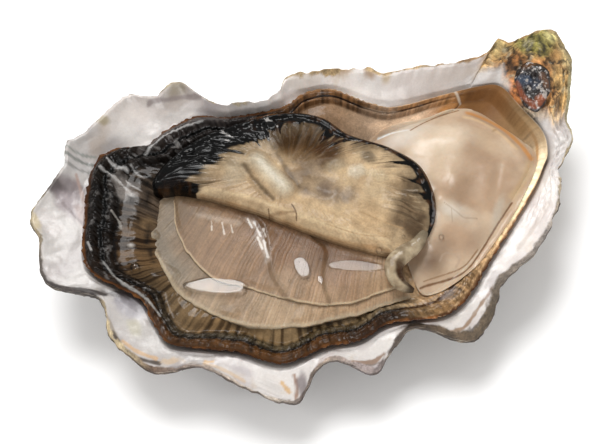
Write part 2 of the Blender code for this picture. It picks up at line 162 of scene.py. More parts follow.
# ------------------------------------------------------------------ curves and noise
def smooth(low: float, high: float, value: Array) -> Array:
    """0 below low, 1 above high, and between them 3 t squared less 2 t cubed."""
    t = np.clip((value - low) / (high - low), 0, 1)
    return t * t * (3 - 2 * t)


def fall(low: float, high: float, value: Array) -> Array:
    """1 below low and 0 above high: what smooth leaves of 1."""
    return 1 - smooth(low, high, value)


def window(low: float, full: float, wane: float, end: float, value: Array) -> Array:
    """0 below low, 1 from full to wane, and 0 again above end."""
    return smooth(low, full, value) * fall(wane, end, value)


def mix(first: Array, second: Array, part: Array) -> Array:
    """The first value moved towards the second by a part from 0 to 1."""
    return first + (second - first) * part


def bump(value: Array) -> Array:
    """One rounded hump: the squared cosine, from 1 at value 0 to 0 at values -1 and 1."""
    return np.cos(np.clip(value, -1, 1) * math.pi / 2) ** 2


def spline(landmarks: tuple, closed: bool, steps: int = 24) -> Array:
    """The Catmull-Rom cubic through the landmarks, as many short chords.

    Args:
        landmarks: the points, in order, with two or three numbers each.
        closed: whether the curve returns to its first point.
        steps: chords between two landmarks.

    Returns:
        The curve's points, one row each.
    """
    points = np.array(landmarks, float)
    if closed:
        before, after, beyond = (np.roll(points, shift, 0) for shift in (1, -1, -2))
    else:
        ends = np.vstack([2 * points[0] - points[1], points, 2 * points[-1] - points[-2]])
        before, points, after, beyond = ends[:-3], ends[1:-2], ends[2:-1], ends[3:]
    t = (np.arange(steps) / steps)[None, :, None]
    p0, p1, p2, p3 = (p[:, None, :] for p in (before, points, after, beyond))
    curve = 0.5 * (2 * p1 + (p2 - p0) * t + (2 * p0 - 5 * p1 + 4 * p2 - p3) * t**2
                   + (3 * p1 - p0 - 3 * p2 + p3) * t**3).reshape(-1, points.shape[1])
    tail = curve[:1] if closed else after[-1:]
    return np.vstack([curve, tail])


def lengths(curve: Array) -> Array:
    """Length along a curve from its start to each of its points."""
    return np.r_[0, np.cumsum(np.linalg.norm(np.diff(curve, axis=0), axis=1))]


def along(curve: Array, count: int, closed: bool = False) -> Array:
    """Points at equal steps of length along a curve."""
    length = lengths(curve)
    wanted = np.linspace(0, length[-1], count, endpoint=not closed)
    return np.stack([np.interp(wanted, length, axis) for axis in curve.T], 1)


def near(curve: Array, plan: Array) -> tuple[Array, Array]:
    """How far each place lies from a curve, both seen from above.

    Each chord is met at the place's foot on it, held between the chord's two ends.

    Args:
        curve: the curve's points.
        plan: places, with x and y in the last axis.

    Returns:
        The distance to the curve, and the length along it to the nearest point.
    """
    start, chord = curve[:-1, :2], np.diff(curve[:, :2], axis=0)
    before = lengths(curve[:, :2])[:-1]
    size = np.maximum(np.linalg.norm(chord, axis=1), 1e-9)
    flat = plan[..., :2].reshape(-1, 2)
    distance, place = np.empty(len(flat)), np.empty(len(flat))
    block = max(1, 2_000_000 // len(chord))
    for first in range(0, len(flat), block):
        offset = flat[first:first + block, None, :] - start
        part = np.clip((offset * chord).sum(2) / size**2, 0, 1)
        apart = np.linalg.norm(offset - chord * part[..., None], axis=2)
        best = apart.argmin(1)
        row = np.arange(len(best))
        distance[first:first + block] = apart[row, best]
        place[first:first + block] = (before + part * size)[row, best]
    return distance.reshape(plan.shape[:-1]), place.reshape(plan.shape[:-1])


def lattice(cells: Array, seed: int) -> Array:
    """A fixed value from -1 to 1 for each whole-number cell, by mixing its numbers."""
    primes = np.array([374761393, 668265263, 1103515245])[:cells.shape[-1]]
    mixed = ((cells * primes).sum(-1) + seed * 362437) & 0xFFFFFFFF
    mixed = ((mixed ^ (mixed >> 13)) * 1274126177) & 0xFFFFFFFF
    mixed = mixed ^ (mixed >> 16)
    return (mixed & 0xFFFF) / 32767.5 - 1


def noise(places: Array, size: float, seed: int = 0, octaves: int = 3) -> Array:
    """Smooth noise from about -1 to 1.

    Values on a lattice are blended with a cubic ease, and each octave is half the size and
    strength of the one before.

    Args:
        places: one, two or three numbers in the last axis.
        size: width of the largest swell.
        seed: which pattern.
        octaves: how many sizes are summed.
    """
    total = np.zeros(places.shape[:-1])
    strength = 1.0
    for octave in range(octaves):
        scaled = places / size * 2**octave + 11.7 * octave
        cell = np.floor(scaled).astype(np.int64)
        t = scaled - cell
        t = t * t * (3 - 2 * t)
        for corner in product((0, 1), repeat=places.shape[-1]):
            weight = np.prod(np.where(np.array(corner) == 1, t, 1 - t), axis=-1)
            total += strength * weight * lattice(cell + corner, seed + octave)
        strength /= 2
    return total / (2 - 2 * strength)


def ripple(line: Array, size: float, seed: int = 0, octaves: int = 2) -> Array:
    """Noise along one number, such as a length."""
    return noise(np.asarray(line)[..., None], size, seed, octaves)


def stack(*parts: Array) -> Array:
    """Arrays, spread to one shape, as the last axis of one array."""
    return np.stack(np.broadcast_arrays(*parts), -1)


def weave(seed: int, octaves: int, *axes: Array) -> Array:
    """Noise over two or more axes, each already divided by the width of its swells."""
    return noise(stack(*axes), 1.0, seed, octaves)


def ridged(value: Array) -> Array:
    """Sharp ridges from noise: 1 where it is 0, falling evenly on both sides."""
    return 1 - 2 * np.abs(value)


def raised(plan: Array, height: Array) -> Array:
    """Places seen from above, with their heights as the third number."""
    return np.concatenate([plan, height[..., None]], -1)


# ------------------------------------------------------------------ colour marks
def linear(colour: Colour) -> Array:
    """The linear tint that gives a colour in the studio's light."""
    share = np.array([colour >> shift & 255 for shift in [16, 8, 0]]) / 255
    light = np.where(share <= 0.04045, share / 12.92, ((share + 0.055) / 1.055) ** 2.4)
    return light / STUDIO_LIGHT


def dye(tint: Array, colour: Colour, part: Array) -> Array:
    """A tint moved towards a colour by a part at each point."""
    return mix(tint, linear(colour), part[..., None])


def shade(tint: Array, change: Array) -> Array:
    """A tint made brighter by a part of itself at each point, or darker by a negative part."""
    return tint * (1 + change)[..., None]


@dataclass(frozen=True)
class Stain:
    """A soft-edged mark of colour: an ellipse seen from above, its border ragged."""

    at: Place
    size: Place
    colour: Colour
    strength: float = 1.0
    turn: float = 0.0
    ragged: float = 0.35
    soft: float = 0.6

    def cover(self, plan: Array) -> Array:
        """How much of the mark shows at each place, from 0 to its strength."""
        across, up = plan[..., 0] - self.at[0], plan[..., 1] - self.at[1]
        angle = math.radians(self.turn)
        u = (across * math.cos(angle) + up * math.sin(angle)) / self.size[0]
        v = (up * math.cos(angle) - across * math.sin(angle)) / self.size[1]
        radius = np.hypot(u, v)
        inside = radius < 2
        ragged = np.zeros_like(radius)
        ragged[inside] = noise(plan[inside], 0.6 * min(self.size) + 0.4, 5)
        radius = radius + self.ragged * ragged
        return self.strength * fall(1 - self.soft, 1 + 0.3 * self.soft, radius)


@dataclass(frozen=True)
class Stroke:
    """A line of colour along a smooth curve, fading and ragged at its sides."""

    path: tuple[Place, ...]
    width: float
    colour: Colour
    strength: float = 1.0
    ragged: float = 0.3
    soft: float = 0.6

    def cover(self, plan: Array) -> Array:
        """How much of the mark shows at each place, from 0 to its strength."""
        distance, _ = near(spline(self.path, False, 6), plan)
        half = self.width / 2
        ragged = self.ragged * noise(plan, self.width + 0.3, 9)
        return self.strength * fall(1 - self.soft, 1 + 0.4 * self.soft, distance / half + ragged)


def paint(tint: Array, plan: Array, marks: tuple) -> Array:
    """Lay marks over a tint in order, each moving it towards its own colour by its cover."""
    for mark in marks:
        tint = dye(tint, mark.colour, mark.cover(plan))
    return tint


# ------------------------------------------------------------------ meshes
def skin(name: str, rings: Array, tint: Array, polish: Array) -> bpy.types.Object:
    """A closed mesh whose quads join each ring to the next, with a fan at both ends.

    The faces are turned outwards by the sign of the volume that they enclose: the sum over the
    faces of a sixth of corner . (corner x corner).

    Args:
        name: the piece's name.
        rings: points in mm, as ring, place on the ring, and x, y, z.
        tint: linear colour of each point.
        polish: polish of each point.
    """
    count, around = rings.shape[:2]
    poles = rings[[0, -1]].mean(1)
    points = np.vstack([rings.reshape(-1, 3), poles]) * MM
    shades = np.vstack([tint.reshape(-1, 3), tint[[0, -1]].mean(1)])
    shine = np.r_[np.broadcast_to(polish, rings.shape[:2]).ravel(), 1.0, 1.0]
    here = np.arange(count * around).reshape(count, around)
    turned = np.roll(here, -1, 1)
    quads = stack(here[:-1], turned[:-1], turned[1:], here[1:]).reshape(-1, 4)
    start = stack(turned[0], here[0], np.full(around, count * around))
    end = stack(here[-1], turned[-1], np.full(around, count * around + 1))
    fans = np.vstack([start, end])
    halves = np.vstack([quads[:, :3], quads[:, [0, 2, 3]], fans])
    a, b, c = (points[halves[:, corner]] for corner in range(3))
    if (a * np.cross(b, c)).sum() < 0:
        quads, fans = quads[:, ::-1], fans[:, ::-1]
    mesh = bpy.data.meshes.new(name)
    mesh.vertices.add(len(points))
    mesh.vertices.foreach_set("co", points.astype(np.float32).ravel())
    mesh.loops.add(quads.size + fans.size)
    mesh.loops.foreach_set("vertex_index", np.r_[quads.ravel(), fans.ravel()].astype(np.int32))
    mesh.polygons.add(len(quads) + len(fans))
    starts = np.r_[np.arange(len(quads)) * 4, quads.size + np.arange(len(fans)) * 3]
    mesh.polygons.foreach_set("loop_start", starts.astype(np.int32))
    mesh.update(calc_edges=True)
    mesh.shade_smooth()
    colours = np.column_stack([shades, np.ones(len(shades))]).astype(np.float32)
    mesh.attributes.new(TINT, "FLOAT_COLOR", "POINT").data.foreach_set("color", colours.ravel())
    mesh.attributes.new(POLISH, "FLOAT", "POINT").data.foreach_set(
        "value", shine.astype(np.float32))
    piece = bpy.data.objects.new(name, mesh)
    bpy.context.scene.collection.objects.link(piece)
    return piece


def settle(piece: bpy.types.Object, finish: "Finish | Liquor", slot: str, *nodes: str) -> None:
    """Dress a piece, let it ride on the oyster, and let it stand for its CAD nodes."""
    piece.data.materials.append(finish.material())
    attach(piece, BODY)
    if nodes:
        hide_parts(*nodes)
    log.info("%s: %d faces", piece.name, len(piece.data.polygons))


class Relief:
    """Heights of what has been laid so far, on a square grid seen from above."""

    STEP = 0.3
    LOW = (-57.0, -36.0)
    COUNT = (381, 241)

    def __init__(self) -> None:
        """Start with nothing laid."""
        self.heights = np.full(self.COUNT, -np.inf)

    def add(self, surface: Array) -> None:
        """Raise the grid to a surface's points; empty cells between them take a neighbour's."""
        cell = np.round((surface[..., :2].reshape(-1, 2) - self.LOW) / self.STEP).astype(int)
        cell = np.clip(cell, 0, np.array(self.COUNT) - 1)
        layer = np.full(self.COUNT, -np.inf)
        np.maximum.at(layer, (cell[:, 0], cell[:, 1]), surface[..., 2].ravel())
        filled = layer.copy()
        for shift in ((1, 0), (-1, 0), (0, 1), (0, -1)):
            filled = np.maximum(filled, np.roll(layer, shift, (0, 1)))
        self.heights = np.maximum(self.heights, np.where(np.isinf(layer), filled, layer))

    def at(self, plan: Array) -> Array:
        """Height at places, read between the grid's points; deep down where nothing lies."""
        spot = np.clip((plan[..., :2] - self.LOW) / self.STEP, 0, np.array(self.COUNT) - 1.001)
        cell = spot.astype(int)
        t = spot - cell
        known = np.where(np.isinf(self.heights), -50.0, self.heights)
        x, y = cell[..., 0], cell[..., 1]
        low = mix(known[x, y], known[x + 1, y], t[..., 0])
        high = mix(known[x, y + 1], known[x + 1, y + 1], t[..., 0])
        return mix(low, high, t[..., 1])

    def soften(self, passes: int) -> "Relief":
        """A copy whose heights are averaged with their neighbours' this many times."""
        softer = Relief()
        held = np.where(np.isinf(self.heights), 0.0, self.heights)
        for _ in range(passes):
            held = (held * 2 + sum(np.roll(held, shift, (0, 1)) for shift in
                                   ((1, 0), (-1, 0), (0, 1), (0, -1)))) / 6
        softer.heights = held
        return softer


# ------------------------------------------------------------------ finishes
def feed(node: bpy.types.Node, inputs: dict) -> bpy.types.Node:
    """Fill a node's inputs, by name or number: a socket is linked, any other value is set."""
    for key, value in inputs.items():
        if isinstance(value, bpy.types.NodeSocket):
            node.id_data.links.new(value, node.inputs[key])
        else:
            node.inputs[key].default_value = value
    return node


@dataclass(frozen=True)
class Finish:
    """A procedural finish: the tint with fine mottling, over a wet or chalky surface.

    The colour is the tint times a value that noise moves about 1; the roughness falls from dull
    to gleam with the polish attribute; the bump is noise on two scales.
    """

    name: str
    gleam: float = 0.12
    dull: float = 0.6
    grain: float = 2600.0
    mottle: float = 0.16
    dull_mottle: float = 0.3
    bump_height: float = 0.00005
    dull_bump: float = 0.0001
    coat: float = 0.5
    coat_roughness: float = 0.06
    flesh: float = 0.25
    flesh_depth: float = 0.0008
    specular: float = 0.5

    def material(self) -> bpy.types.Material:
        """The node material, made once and then shared."""
        if self.name in bpy.data.materials:
            return bpy.data.materials[self.name]
        made = bpy.data.materials.new(self.name)
        made.use_nodes = True
        nodes = made.node_tree.nodes

        def add(kind: str, inputs: dict, output: int | str = 0,
                **settings: str) -> bpy.types.NodeSocket:
            """An output of a new node whose settings and inputs are in place."""
            node = nodes.new("ShaderNode" + kind)
            for name, value in settings.items():
                setattr(node, name, value)
            return feed(node, inputs).outputs[output]

        where = add("TexCoord", {}, "Object")
        fine, coarse = (add("TexNoise", {"Scale": scale, "Detail": detail, "Roughness": 0.6,
                                         "Vector": where}, "Fac")
                        for scale, detail in ((self.grain, 3.0), (self.grain / 6, 4.0)))
        tint = add("Attribute", {}, "Color", attribute_name=TINT)
        polish = add("Attribute", {}, "Fac", attribute_name=POLISH)

        def by_polish(when_dull: float, when_smooth: float) -> bpy.types.NodeSocket:
            """A value that runs from one to the other as the polish goes from 0 to 1."""
            return add("MapRange", {"To Min": when_dull, "To Max": when_smooth, "Value": polish})

        blotch = add("Math", {0: fine, 1: coarse}, operation="ADD")
        value = add("MapRange", {
            "From Min": 0.7, "From Max": 1.3, "Value": blotch,
            "To Min": by_polish(1 - self.dull_mottle, 1 - self.mottle),
            "To Max": by_polish(1 + self.dull_mottle, 1 + self.mottle)})
        feed(nodes["Principled BSDF"], {
            "Base Color": add("VectorMath", {0: tint, "Scale": value}, operation="SCALE"),
            "Roughness": by_polish(self.dull, self.gleam),
            "Normal": add("Bump", {"Strength": 0.6, "Height": blotch,
                                   "Distance": by_polish(self.dull_bump, self.bump_height)}),
            "Coat Weight": by_polish(0.0, self.coat),
            "Coat Roughness": self.coat_roughness,
            "Coat IOR": 1.35,
            "Subsurface Weight": self.flesh,
            "Subsurface Radius": (1.0, 0.6, 0.4),
            "Subsurface Scale": self.flesh_depth,
            "Specular IOR Level": self.specular,
        })
        return made


class Finishes(Enum):
    """The oyster's finishes."""

    SHELL = Finish("pearl_and_crust", gleam=0.3, dull=0.85, grain=2600, mottle=0.05,
                   dull_mottle=0.55, bump_height=0.00004, dull_bump=0.0004, coat=0.0,
                   flesh=0.06, flesh_depth=0.001)
    FRINGE = Finish("dark_mantle", gleam=0.16, dull=0.5, grain=3000, mottle=0.26,
                    dull_mottle=0.1, bump_height=0.0001, dull_bump=0.00004, coat=0.34,
                    coat_roughness=0.04, flesh=0.06, specular=0.04)
    GILL = Finish("gill_leaf", gleam=0.2, dull=0.5, grain=2400, mottle=0.08,
                  bump_height=0.00003, coat=0.28, coat_roughness=0.1, flesh=0.25, specular=0.12)
    BODY = Finish("soft_body", gleam=0.2, dull=0.5, grain=1500, mottle=0.05,
                  bump_height=0.00003, coat=0.16, coat_roughness=0.36, flesh=0.4,
                  flesh_depth=0.0015, specular=0.2)
    FLAP = Finish("upper_mantle", gleam=0.18, dull=0.5, grain=2600, mottle=0.14,
                  bump_height=0.00005, coat=0.4, coat_roughness=0.04, flesh=0.1, specular=0.04)
    LIGAMENT = Finish("horny_ligament", gleam=0.14, dull=0.6, grain=2600, mottle=0.4,
                      bump_height=0.00016, coat=0.5, coat_roughness=0.1, flesh=0.0)


# ------------------------------------------------------------------ the shell
@dataclass
class Valve:
    """The cupped valve's plan: hubs on its middle line and rays from them to the edge."""

    around: int = 800
    centre: Place = (-4.0, -1.0)
    hub_spread: float = 0.3
    cup_floor: float = 4.5
    cup_fullness: float = 2.2
    mantle_edge: float = 1.4
    lip_flare: float = 1.5
    hinge_flare: float = 0.55
    hinge_span: Place = (36.0, 46.0)
    lip_thickness: float = 1.6
    wall: float = 1.9
    foot_size: float = 0.22
    belly_round: float = 1.5

    def __post_init__(self) -> None:
        """Lay out the rays and where each one crosses the mantle line."""
        self.rim = along(spline(RIM, True), self.around, closed=True)
        hub_x = self.centre[0] + self.hub_spread * (self.rim[:, 0] - self.centre[0])
        self.hub = np.column_stack([hub_x, np.full(self.around, self.centre[1])])
        self.line = self.crossings(spline(MANTLE_LINE, True))
        self.reach = np.linalg.norm(self.rim[:, :2] - self.hub, axis=1)
        self.depth = np.linalg.norm(self.line[:, :2] - self.hub, axis=1)
        self.floor = self.line[:, 2] - self.mantle_edge
        self.hinge = smooth(*self.hinge_span, self.rim[:, 0])
        self.flare = mix(self.lip_flare, self.hinge_flare, self.hinge)
        self.length = lengths(self.rim)

    def crossings(self, curve: Array) -> Array:
        """Where each ray crosses a closed curve: its side changes there, ahead of the hub."""
        ahead = (self.rim[:, :2] - self.hub)[:, None, :]
        offset = curve[None, :, :2] - self.hub[:, None, :]
        side = ahead[..., 0] * offset[..., 1] - ahead[..., 1] * offset[..., 0]
        forward = (offset * ahead).sum(2)
        crossed = (side[:, :-1] * side[:, 1:] <= 0) & (forward[:, :-1] > 0)
        k = crossed.argmax(1)
        row = np.arange(self.around)
        part = side[row, k] / (side[row, k] - side[row, k + 1])
        return curve[k] + (curve[k + 1] - curve[k]) * part[:, None]

    def ring(self, distance: Array, height: Array) -> Array:
        """Points at distances from the hubs and at heights; more rows make more rings."""
        part = (distance / self.reach)[..., None]
        plan = self.hub + (self.rim[:, :2] - self.hub) * part
        return raised(plan, np.broadcast_to(height, part.shape[:-1]))

    def inside_at(self, height: Array) -> Array:
        """Distance from the hub to the inside face at a height, on each ray."""
        cup = np.clip((height - self.cup_floor) / (self.floor - self.cup_floor), 0, 1)
        rise = np.maximum(self.rim[:, 2] - self.floor, 1.0)
        lip = np.clip((height - self.floor) / rise, 0, 1) ** (1 / self.flare)
        return self.depth * cup ** (1 / self.cup_fullness) + (self.reach - self.depth) * lip


@dataclass(frozen=True)
class EdgeStation:
    """How the shell's edge looks at one place; between stations it changes evenly.

    white_gap is how far in from the edge the pearly white stops.
    """

    at: Place
    white_gap: float
    edge: Colour
    crust: Colour


EDGE_STATIONS: tuple[EdgeStation, ...] = tuple(EdgeStation(*row) for row in (
    ((45.5, 17), 1.6, 0xb08e5c, 0x968658),
    ((38.5, 17.5), 0.9, 0xbe9664, 0x967852),
    ((26, 19.5), 0.7, 0xd6ba92, 0xa88c68),
    ((7.5, 25.5), 0.9, 0xd8ba8a, 0xaa8e68),
    ((-2, 24), 0.3, 0xe4d4b8, 0xb0a08c),
    ((-19, 32.5), 0.5, 0xc4b69a, 0x968a7a),
    ((-36, 31), 0.3, 0xd4c8b8, 0x9e9286),
    ((-45.5, 24.5), 0.3, 0xa6a09a, 0x78706c),
    ((-50, 21), 0.9, 0x605856, 0x544c4a),
    ((-54, 18), 0.7, 0xc4b28c, 0x6e645a),
    ((-55, 8.5), 0.9, 0x70665c, 0x524a46),
    ((-55, 3.5), 0.9, 0x544c48, 0x423c3a),
    ((-47.5, -3), 0.9, 0x463e3c, 0x3c3636),
    ((-47.5, -8), 0.7, 0xd8c49c, 0x826c54),
    ((-45.5, -15), 1, 0xceba96, 0x74604c),
    ((-41, -19.5), 1, 0x6e5848, 0x4e4240),
    ((-34, -21.5), 0.6, 0xa8968a, 0x564c4c),
    ((-22, -32.5), 0.5, 0xd6c8b8, 0x80746e),
    ((-16.5, -31.5), 1.2, 0x60524e, 0x504644),
    ((-10, -29.5), 0.6, 0xa89686, 0x645a56),
    ((-3, -32.5), 1.1, 0xc4b4b0, 0x5c5254),
    ((4, -29), 0.9, 0x60544c, 0x524a46),
    ((14.5, -33.7), 1.9, 0x685642, 0x4a4038),
    ((25, -26), 2.2, 0x6c5e4c, 0x504840),
    ((32.5, -23), 1.6, 0x8a7e72, 0x5a524c),
    ((40.5, -16), 1, 0xaaa098, 0x7c7268),
    ((49.5, -3.5), 0.7, 0xc4b08e, 0x867054),
    ((55.3, 12), 1.2, 0xaca27a, 0x887e58),
))

# Marks on the pearly inside of the shell; the last two brighten the shaded far wall with painted
# light.
NACRE_MARKS: tuple = (
    Stain((-30, 31), (8, 3.4), 0xe2d9d2, 0.8),
    Stain((-43, 24.5), (4.6, 2.4), 0xcecac8, 0.8, 150),
    Stain((-45.5, 20.5), (4.4, 2.6), 0x7a6f71, 0.85, 150),
    Stain((-47.8, 21.8), (2.6, 1.8), 0x544b4b, 0.9, 130, 0.5),
    Stain((-47, 18.6), (1.8, 3), 0x706466, 0.8, 20, 0.5),
    Stain((-43.6, 18.6), (1.6, 3.6), 0x8e8080, 0.75, 6, 0.5),
    Stroke(((-43.2, 22.6), (-43.4, 18.6), (-43.8, 14.2), (-44.2, 11.2)), 0.8, 0xb09488, 0.75, 0.5),
    Stroke(((-45.4, 15.6), (-45.2, 12.4)), 0.6, 0xbaa096, 0.6, 0.5),
    Stain((-46, 16.5), (4.4, 2.6), 0xbcb0b2, 0.8, 120),
    Stain((-44.6, 13), (1.6, 4.6), 0xbaa49c, 0.7, 8),
    Stain((-51, 14.5), (3.4, 2.4), 0xd6ceca, 0.7, 120),
    Stroke(((-47.8, 18.8), (-46, 14.6), (-44.6, 11.4)), 0.7, 0x928686, 0.7),
    Stain((-37, 27.6), (3.4, 1.7), 0xc4b6aa, 0.75, 40),
    Stain((-35, 30.4), (1.4, 1), 0xa49674, 0.8),
    Stain((-19.6, 31.2), (3, 1.6), 0x9e9076, 0.8, 10),
    Stain((-20.5, 29.6), (5, 1.4), 0xc4b8b0, 0.8, 14),
    Stroke(((-25.8, 30.6), (-22.5, 30.2), (-18.6, 30), (-15, 27.6)), 0.7, 0x968886, 0.7),
    Stain((-12, 26.2), (6, 1.5), 0xc6bebe, 0.8, 0),
    Stain((-5, 24.6), (6.5, 1.3), 0xded6d0, 0.7, 0),
    Stroke(((-44, 28.6), (-41.5, 26.6), (-38.6, 25.4)), 0.6, 0x969a94, 0.85),
    Stroke(((-44, 27), (-41.8, 25.2), (-39.6, 24)), 0.7, 0x7c807a, 0.85),
    Stroke(((-45, 25.6), (-42.8, 23.8), (-40.8, 22.6)), 0.6, 0x969490, 0.85),
    Stain((-53.4, 15.8), (1, 2.6), 0xd8c496, 0.7, 10),
    Stain((-41.8, -5), (4.8, 2.6), 0x8e8a90, 0.9, 145, 0.5),
    Stroke(((-45.6, -2.4), (-43.2, -2.6), (-40.8, -4.6)), 0.5, 0x4a423e, 0.8, 0.6),
    Stroke(((-43.4, -5), (-41.4, -7.4), (-39.8, -9)), 0.4, 0xbeb8ba, 0.7, 0.4),
    Stain((-43.8, -2.8), (3.4, 0.9), 0x5c5654, 0.85, 150),
    Stain((-43, -6.6), (3.2, 1.4), 0xc4c0c4, 0.8, 130),
    Stain((-42.6, -10.2), (2.4, 1.5), 0xcec8b2, 0.7, 110),
    Stroke(((-54.6, 1.8), (-50.6, 0.4), (-47.4, -1.6), (-45.6, -2.6)), 0.9, 0x3e3734, 0.9, 0.6),
    Stroke(((-47.6, -3.6), (-46.8, -6.4), (-46.4, -10), (-46, -12.6)), 0.9, 0x968874, 0.7),
    Stroke(((-46.6, -9.4), (-45.6, -13), (-43.6, -15.8), (-40.6, -18)), 0.8, 0x46382c, 0.9),
    Stroke(((-45.4, -11.6), (-43.4, -14.6), (-40.8, -17)), 0.8, 0xe2b070, 0.6),
    Stain((-38.4, -18.6), (2.4, 0.8), 0xe2be8c, 0.5, 160, 0.6),
    Stain((-36.6, -20.8), (3.2, 1), 0x5a4e4e, 0.85, 165, 0.5),
    Stroke(((-32.6, -21), (-31.4, -21.6)), 0.8, 0xe8b870, 0.7, 0.7),
    Stroke(((-33, -21.2), (-30.2, -23.6), (-27.2, -27)), 0.7, 0xdebe96, 0.6),
    Stain((-27, -25), (3, 0.9), 0xcec6c8, 0.7, 140),
    Stroke(((-21, -29.4), (-20.2, -31.4)), 0.8, 0xe2b26c, 0.75, 0.7),
    Stroke(((-19.6, -33), (-18.6, -31), (-18.4, -29)), 0.7, 0x966846, 0.8),
    Stain((-17.6, -31), (1.2, 2.6), 0x807476, 0.8, -20),
    Stain((-12.6, -28.6), (2.6, 0.7), 0xccbeba, 0.7, 20),
    Stroke(((-9.6, -29.2), (-7, -30.6), (-4, -31.4), (-1.4, -30.8)), 0.7, 0x8c6440, 0.8, 0.6),
    Stroke(((-8.6, -30.2), (-5.6, -31.6), (-2.6, -32)), 0.4, 0x604a3e, 0.7, 0.6),
    Stroke(((-6.6, -31.6), (-4, -32.4), (-1.8, -31.8)), 0.7, 0xd6cacc, 0.8),
    Stroke(((6.4, -29.4), (10, -30.8), (14, -31.4), (18, -29), (22, -26.4)), 0.7, 0x967046, 0.8,
           0.6),
    Stroke(((7, -30), (11, -31.8), (15, -32.4), (19.4, -30)), 0.5, 0x46382e, 0.8, 0.6),
    Stain((14, -29), (4.4, 1.6), 0xf0e8e0, 0.7, 15),
    Stain((22.5, -25.6), (1.4, 5), 0xb4a8a8, 0.4, -38),
    Stroke(((30, -20.6), (34.6, -17.6), (38.6, -14.4)), 1, 0xd4c4b6, 0.5),
    Stain((44.6, -7.4), (1.6, 3.2), 0xf6f0ec, 0.6, -20),
    Stain((12, 23.6), (2.2, 0.9), 0xcea674, 0.7, 160),
    Stain((16.6, 21.4), (1.6, 1), 0xc49c6e, 0.7, 150),
    Stain((19.4, 19.8), (1.4, 1), 0xd8bc8c, 0.7),
    # Painted light: two pale stains brighten the shaded far wall.
    Stain((26, 17), (12, 1.8), 0xf2e8e2, 0.6, 172),
    Stain((4, 25), (5, 1.2), 0xf6eadc, 0.5, 170),
)

# Marks on the beak and the hinge shelf.
BEAK_MARKS: tuple = (
    Stain((50, 13), (9, 9), 0x9e8454, 0.8, 0, 0.5),
    Stain((47.5, 11), (7.6, 8), 0xaa7e54, 0.95, 0, 0.3),
    Stain((43, 18.2), (3.6, 2.2), 0xb2a67c, 0.85, 10),
    Stain((48, 17.4), (5, 2.6), 0x92925c, 0.9, 0),
    Stain((50.5, 15.2), (3.2, 2.6), 0x7a7a42, 0.85, 20),
    Stain((53.6, 17.2), (2.6, 2.4), 0xdedea8, 0.9, 0, 0.2),
    Stain((54.2, 11.6), (1.4, 4.6), 0xb2a884, 0.8, 0),
    Stain((51.6, 8.6), (2.2, 4.4), 0xa69268, 0.8, -10),
    Stain((44.5, 14.6), (3, 1.6), 0x7e562e, 0.8, 0),
    Stain((52, 12.6), (1.5, 2.4), 0x6e5c3c, 0.7, -20),
    Stain((44.6, 4.8), (1.7, 3.2), 0xece2d6, 0.85, 25),
    Stain((47.6, 1.6), (1.3, 3.4), 0xc6b088, 0.7, -22),
    Stain((48.6, 3.4), (0.7, 2.8), 0x544230, 0.85, -26),
    Stain((42.6, 10.6), (1.3, 3.6), 0xbe7846, 0.7, 10),
)


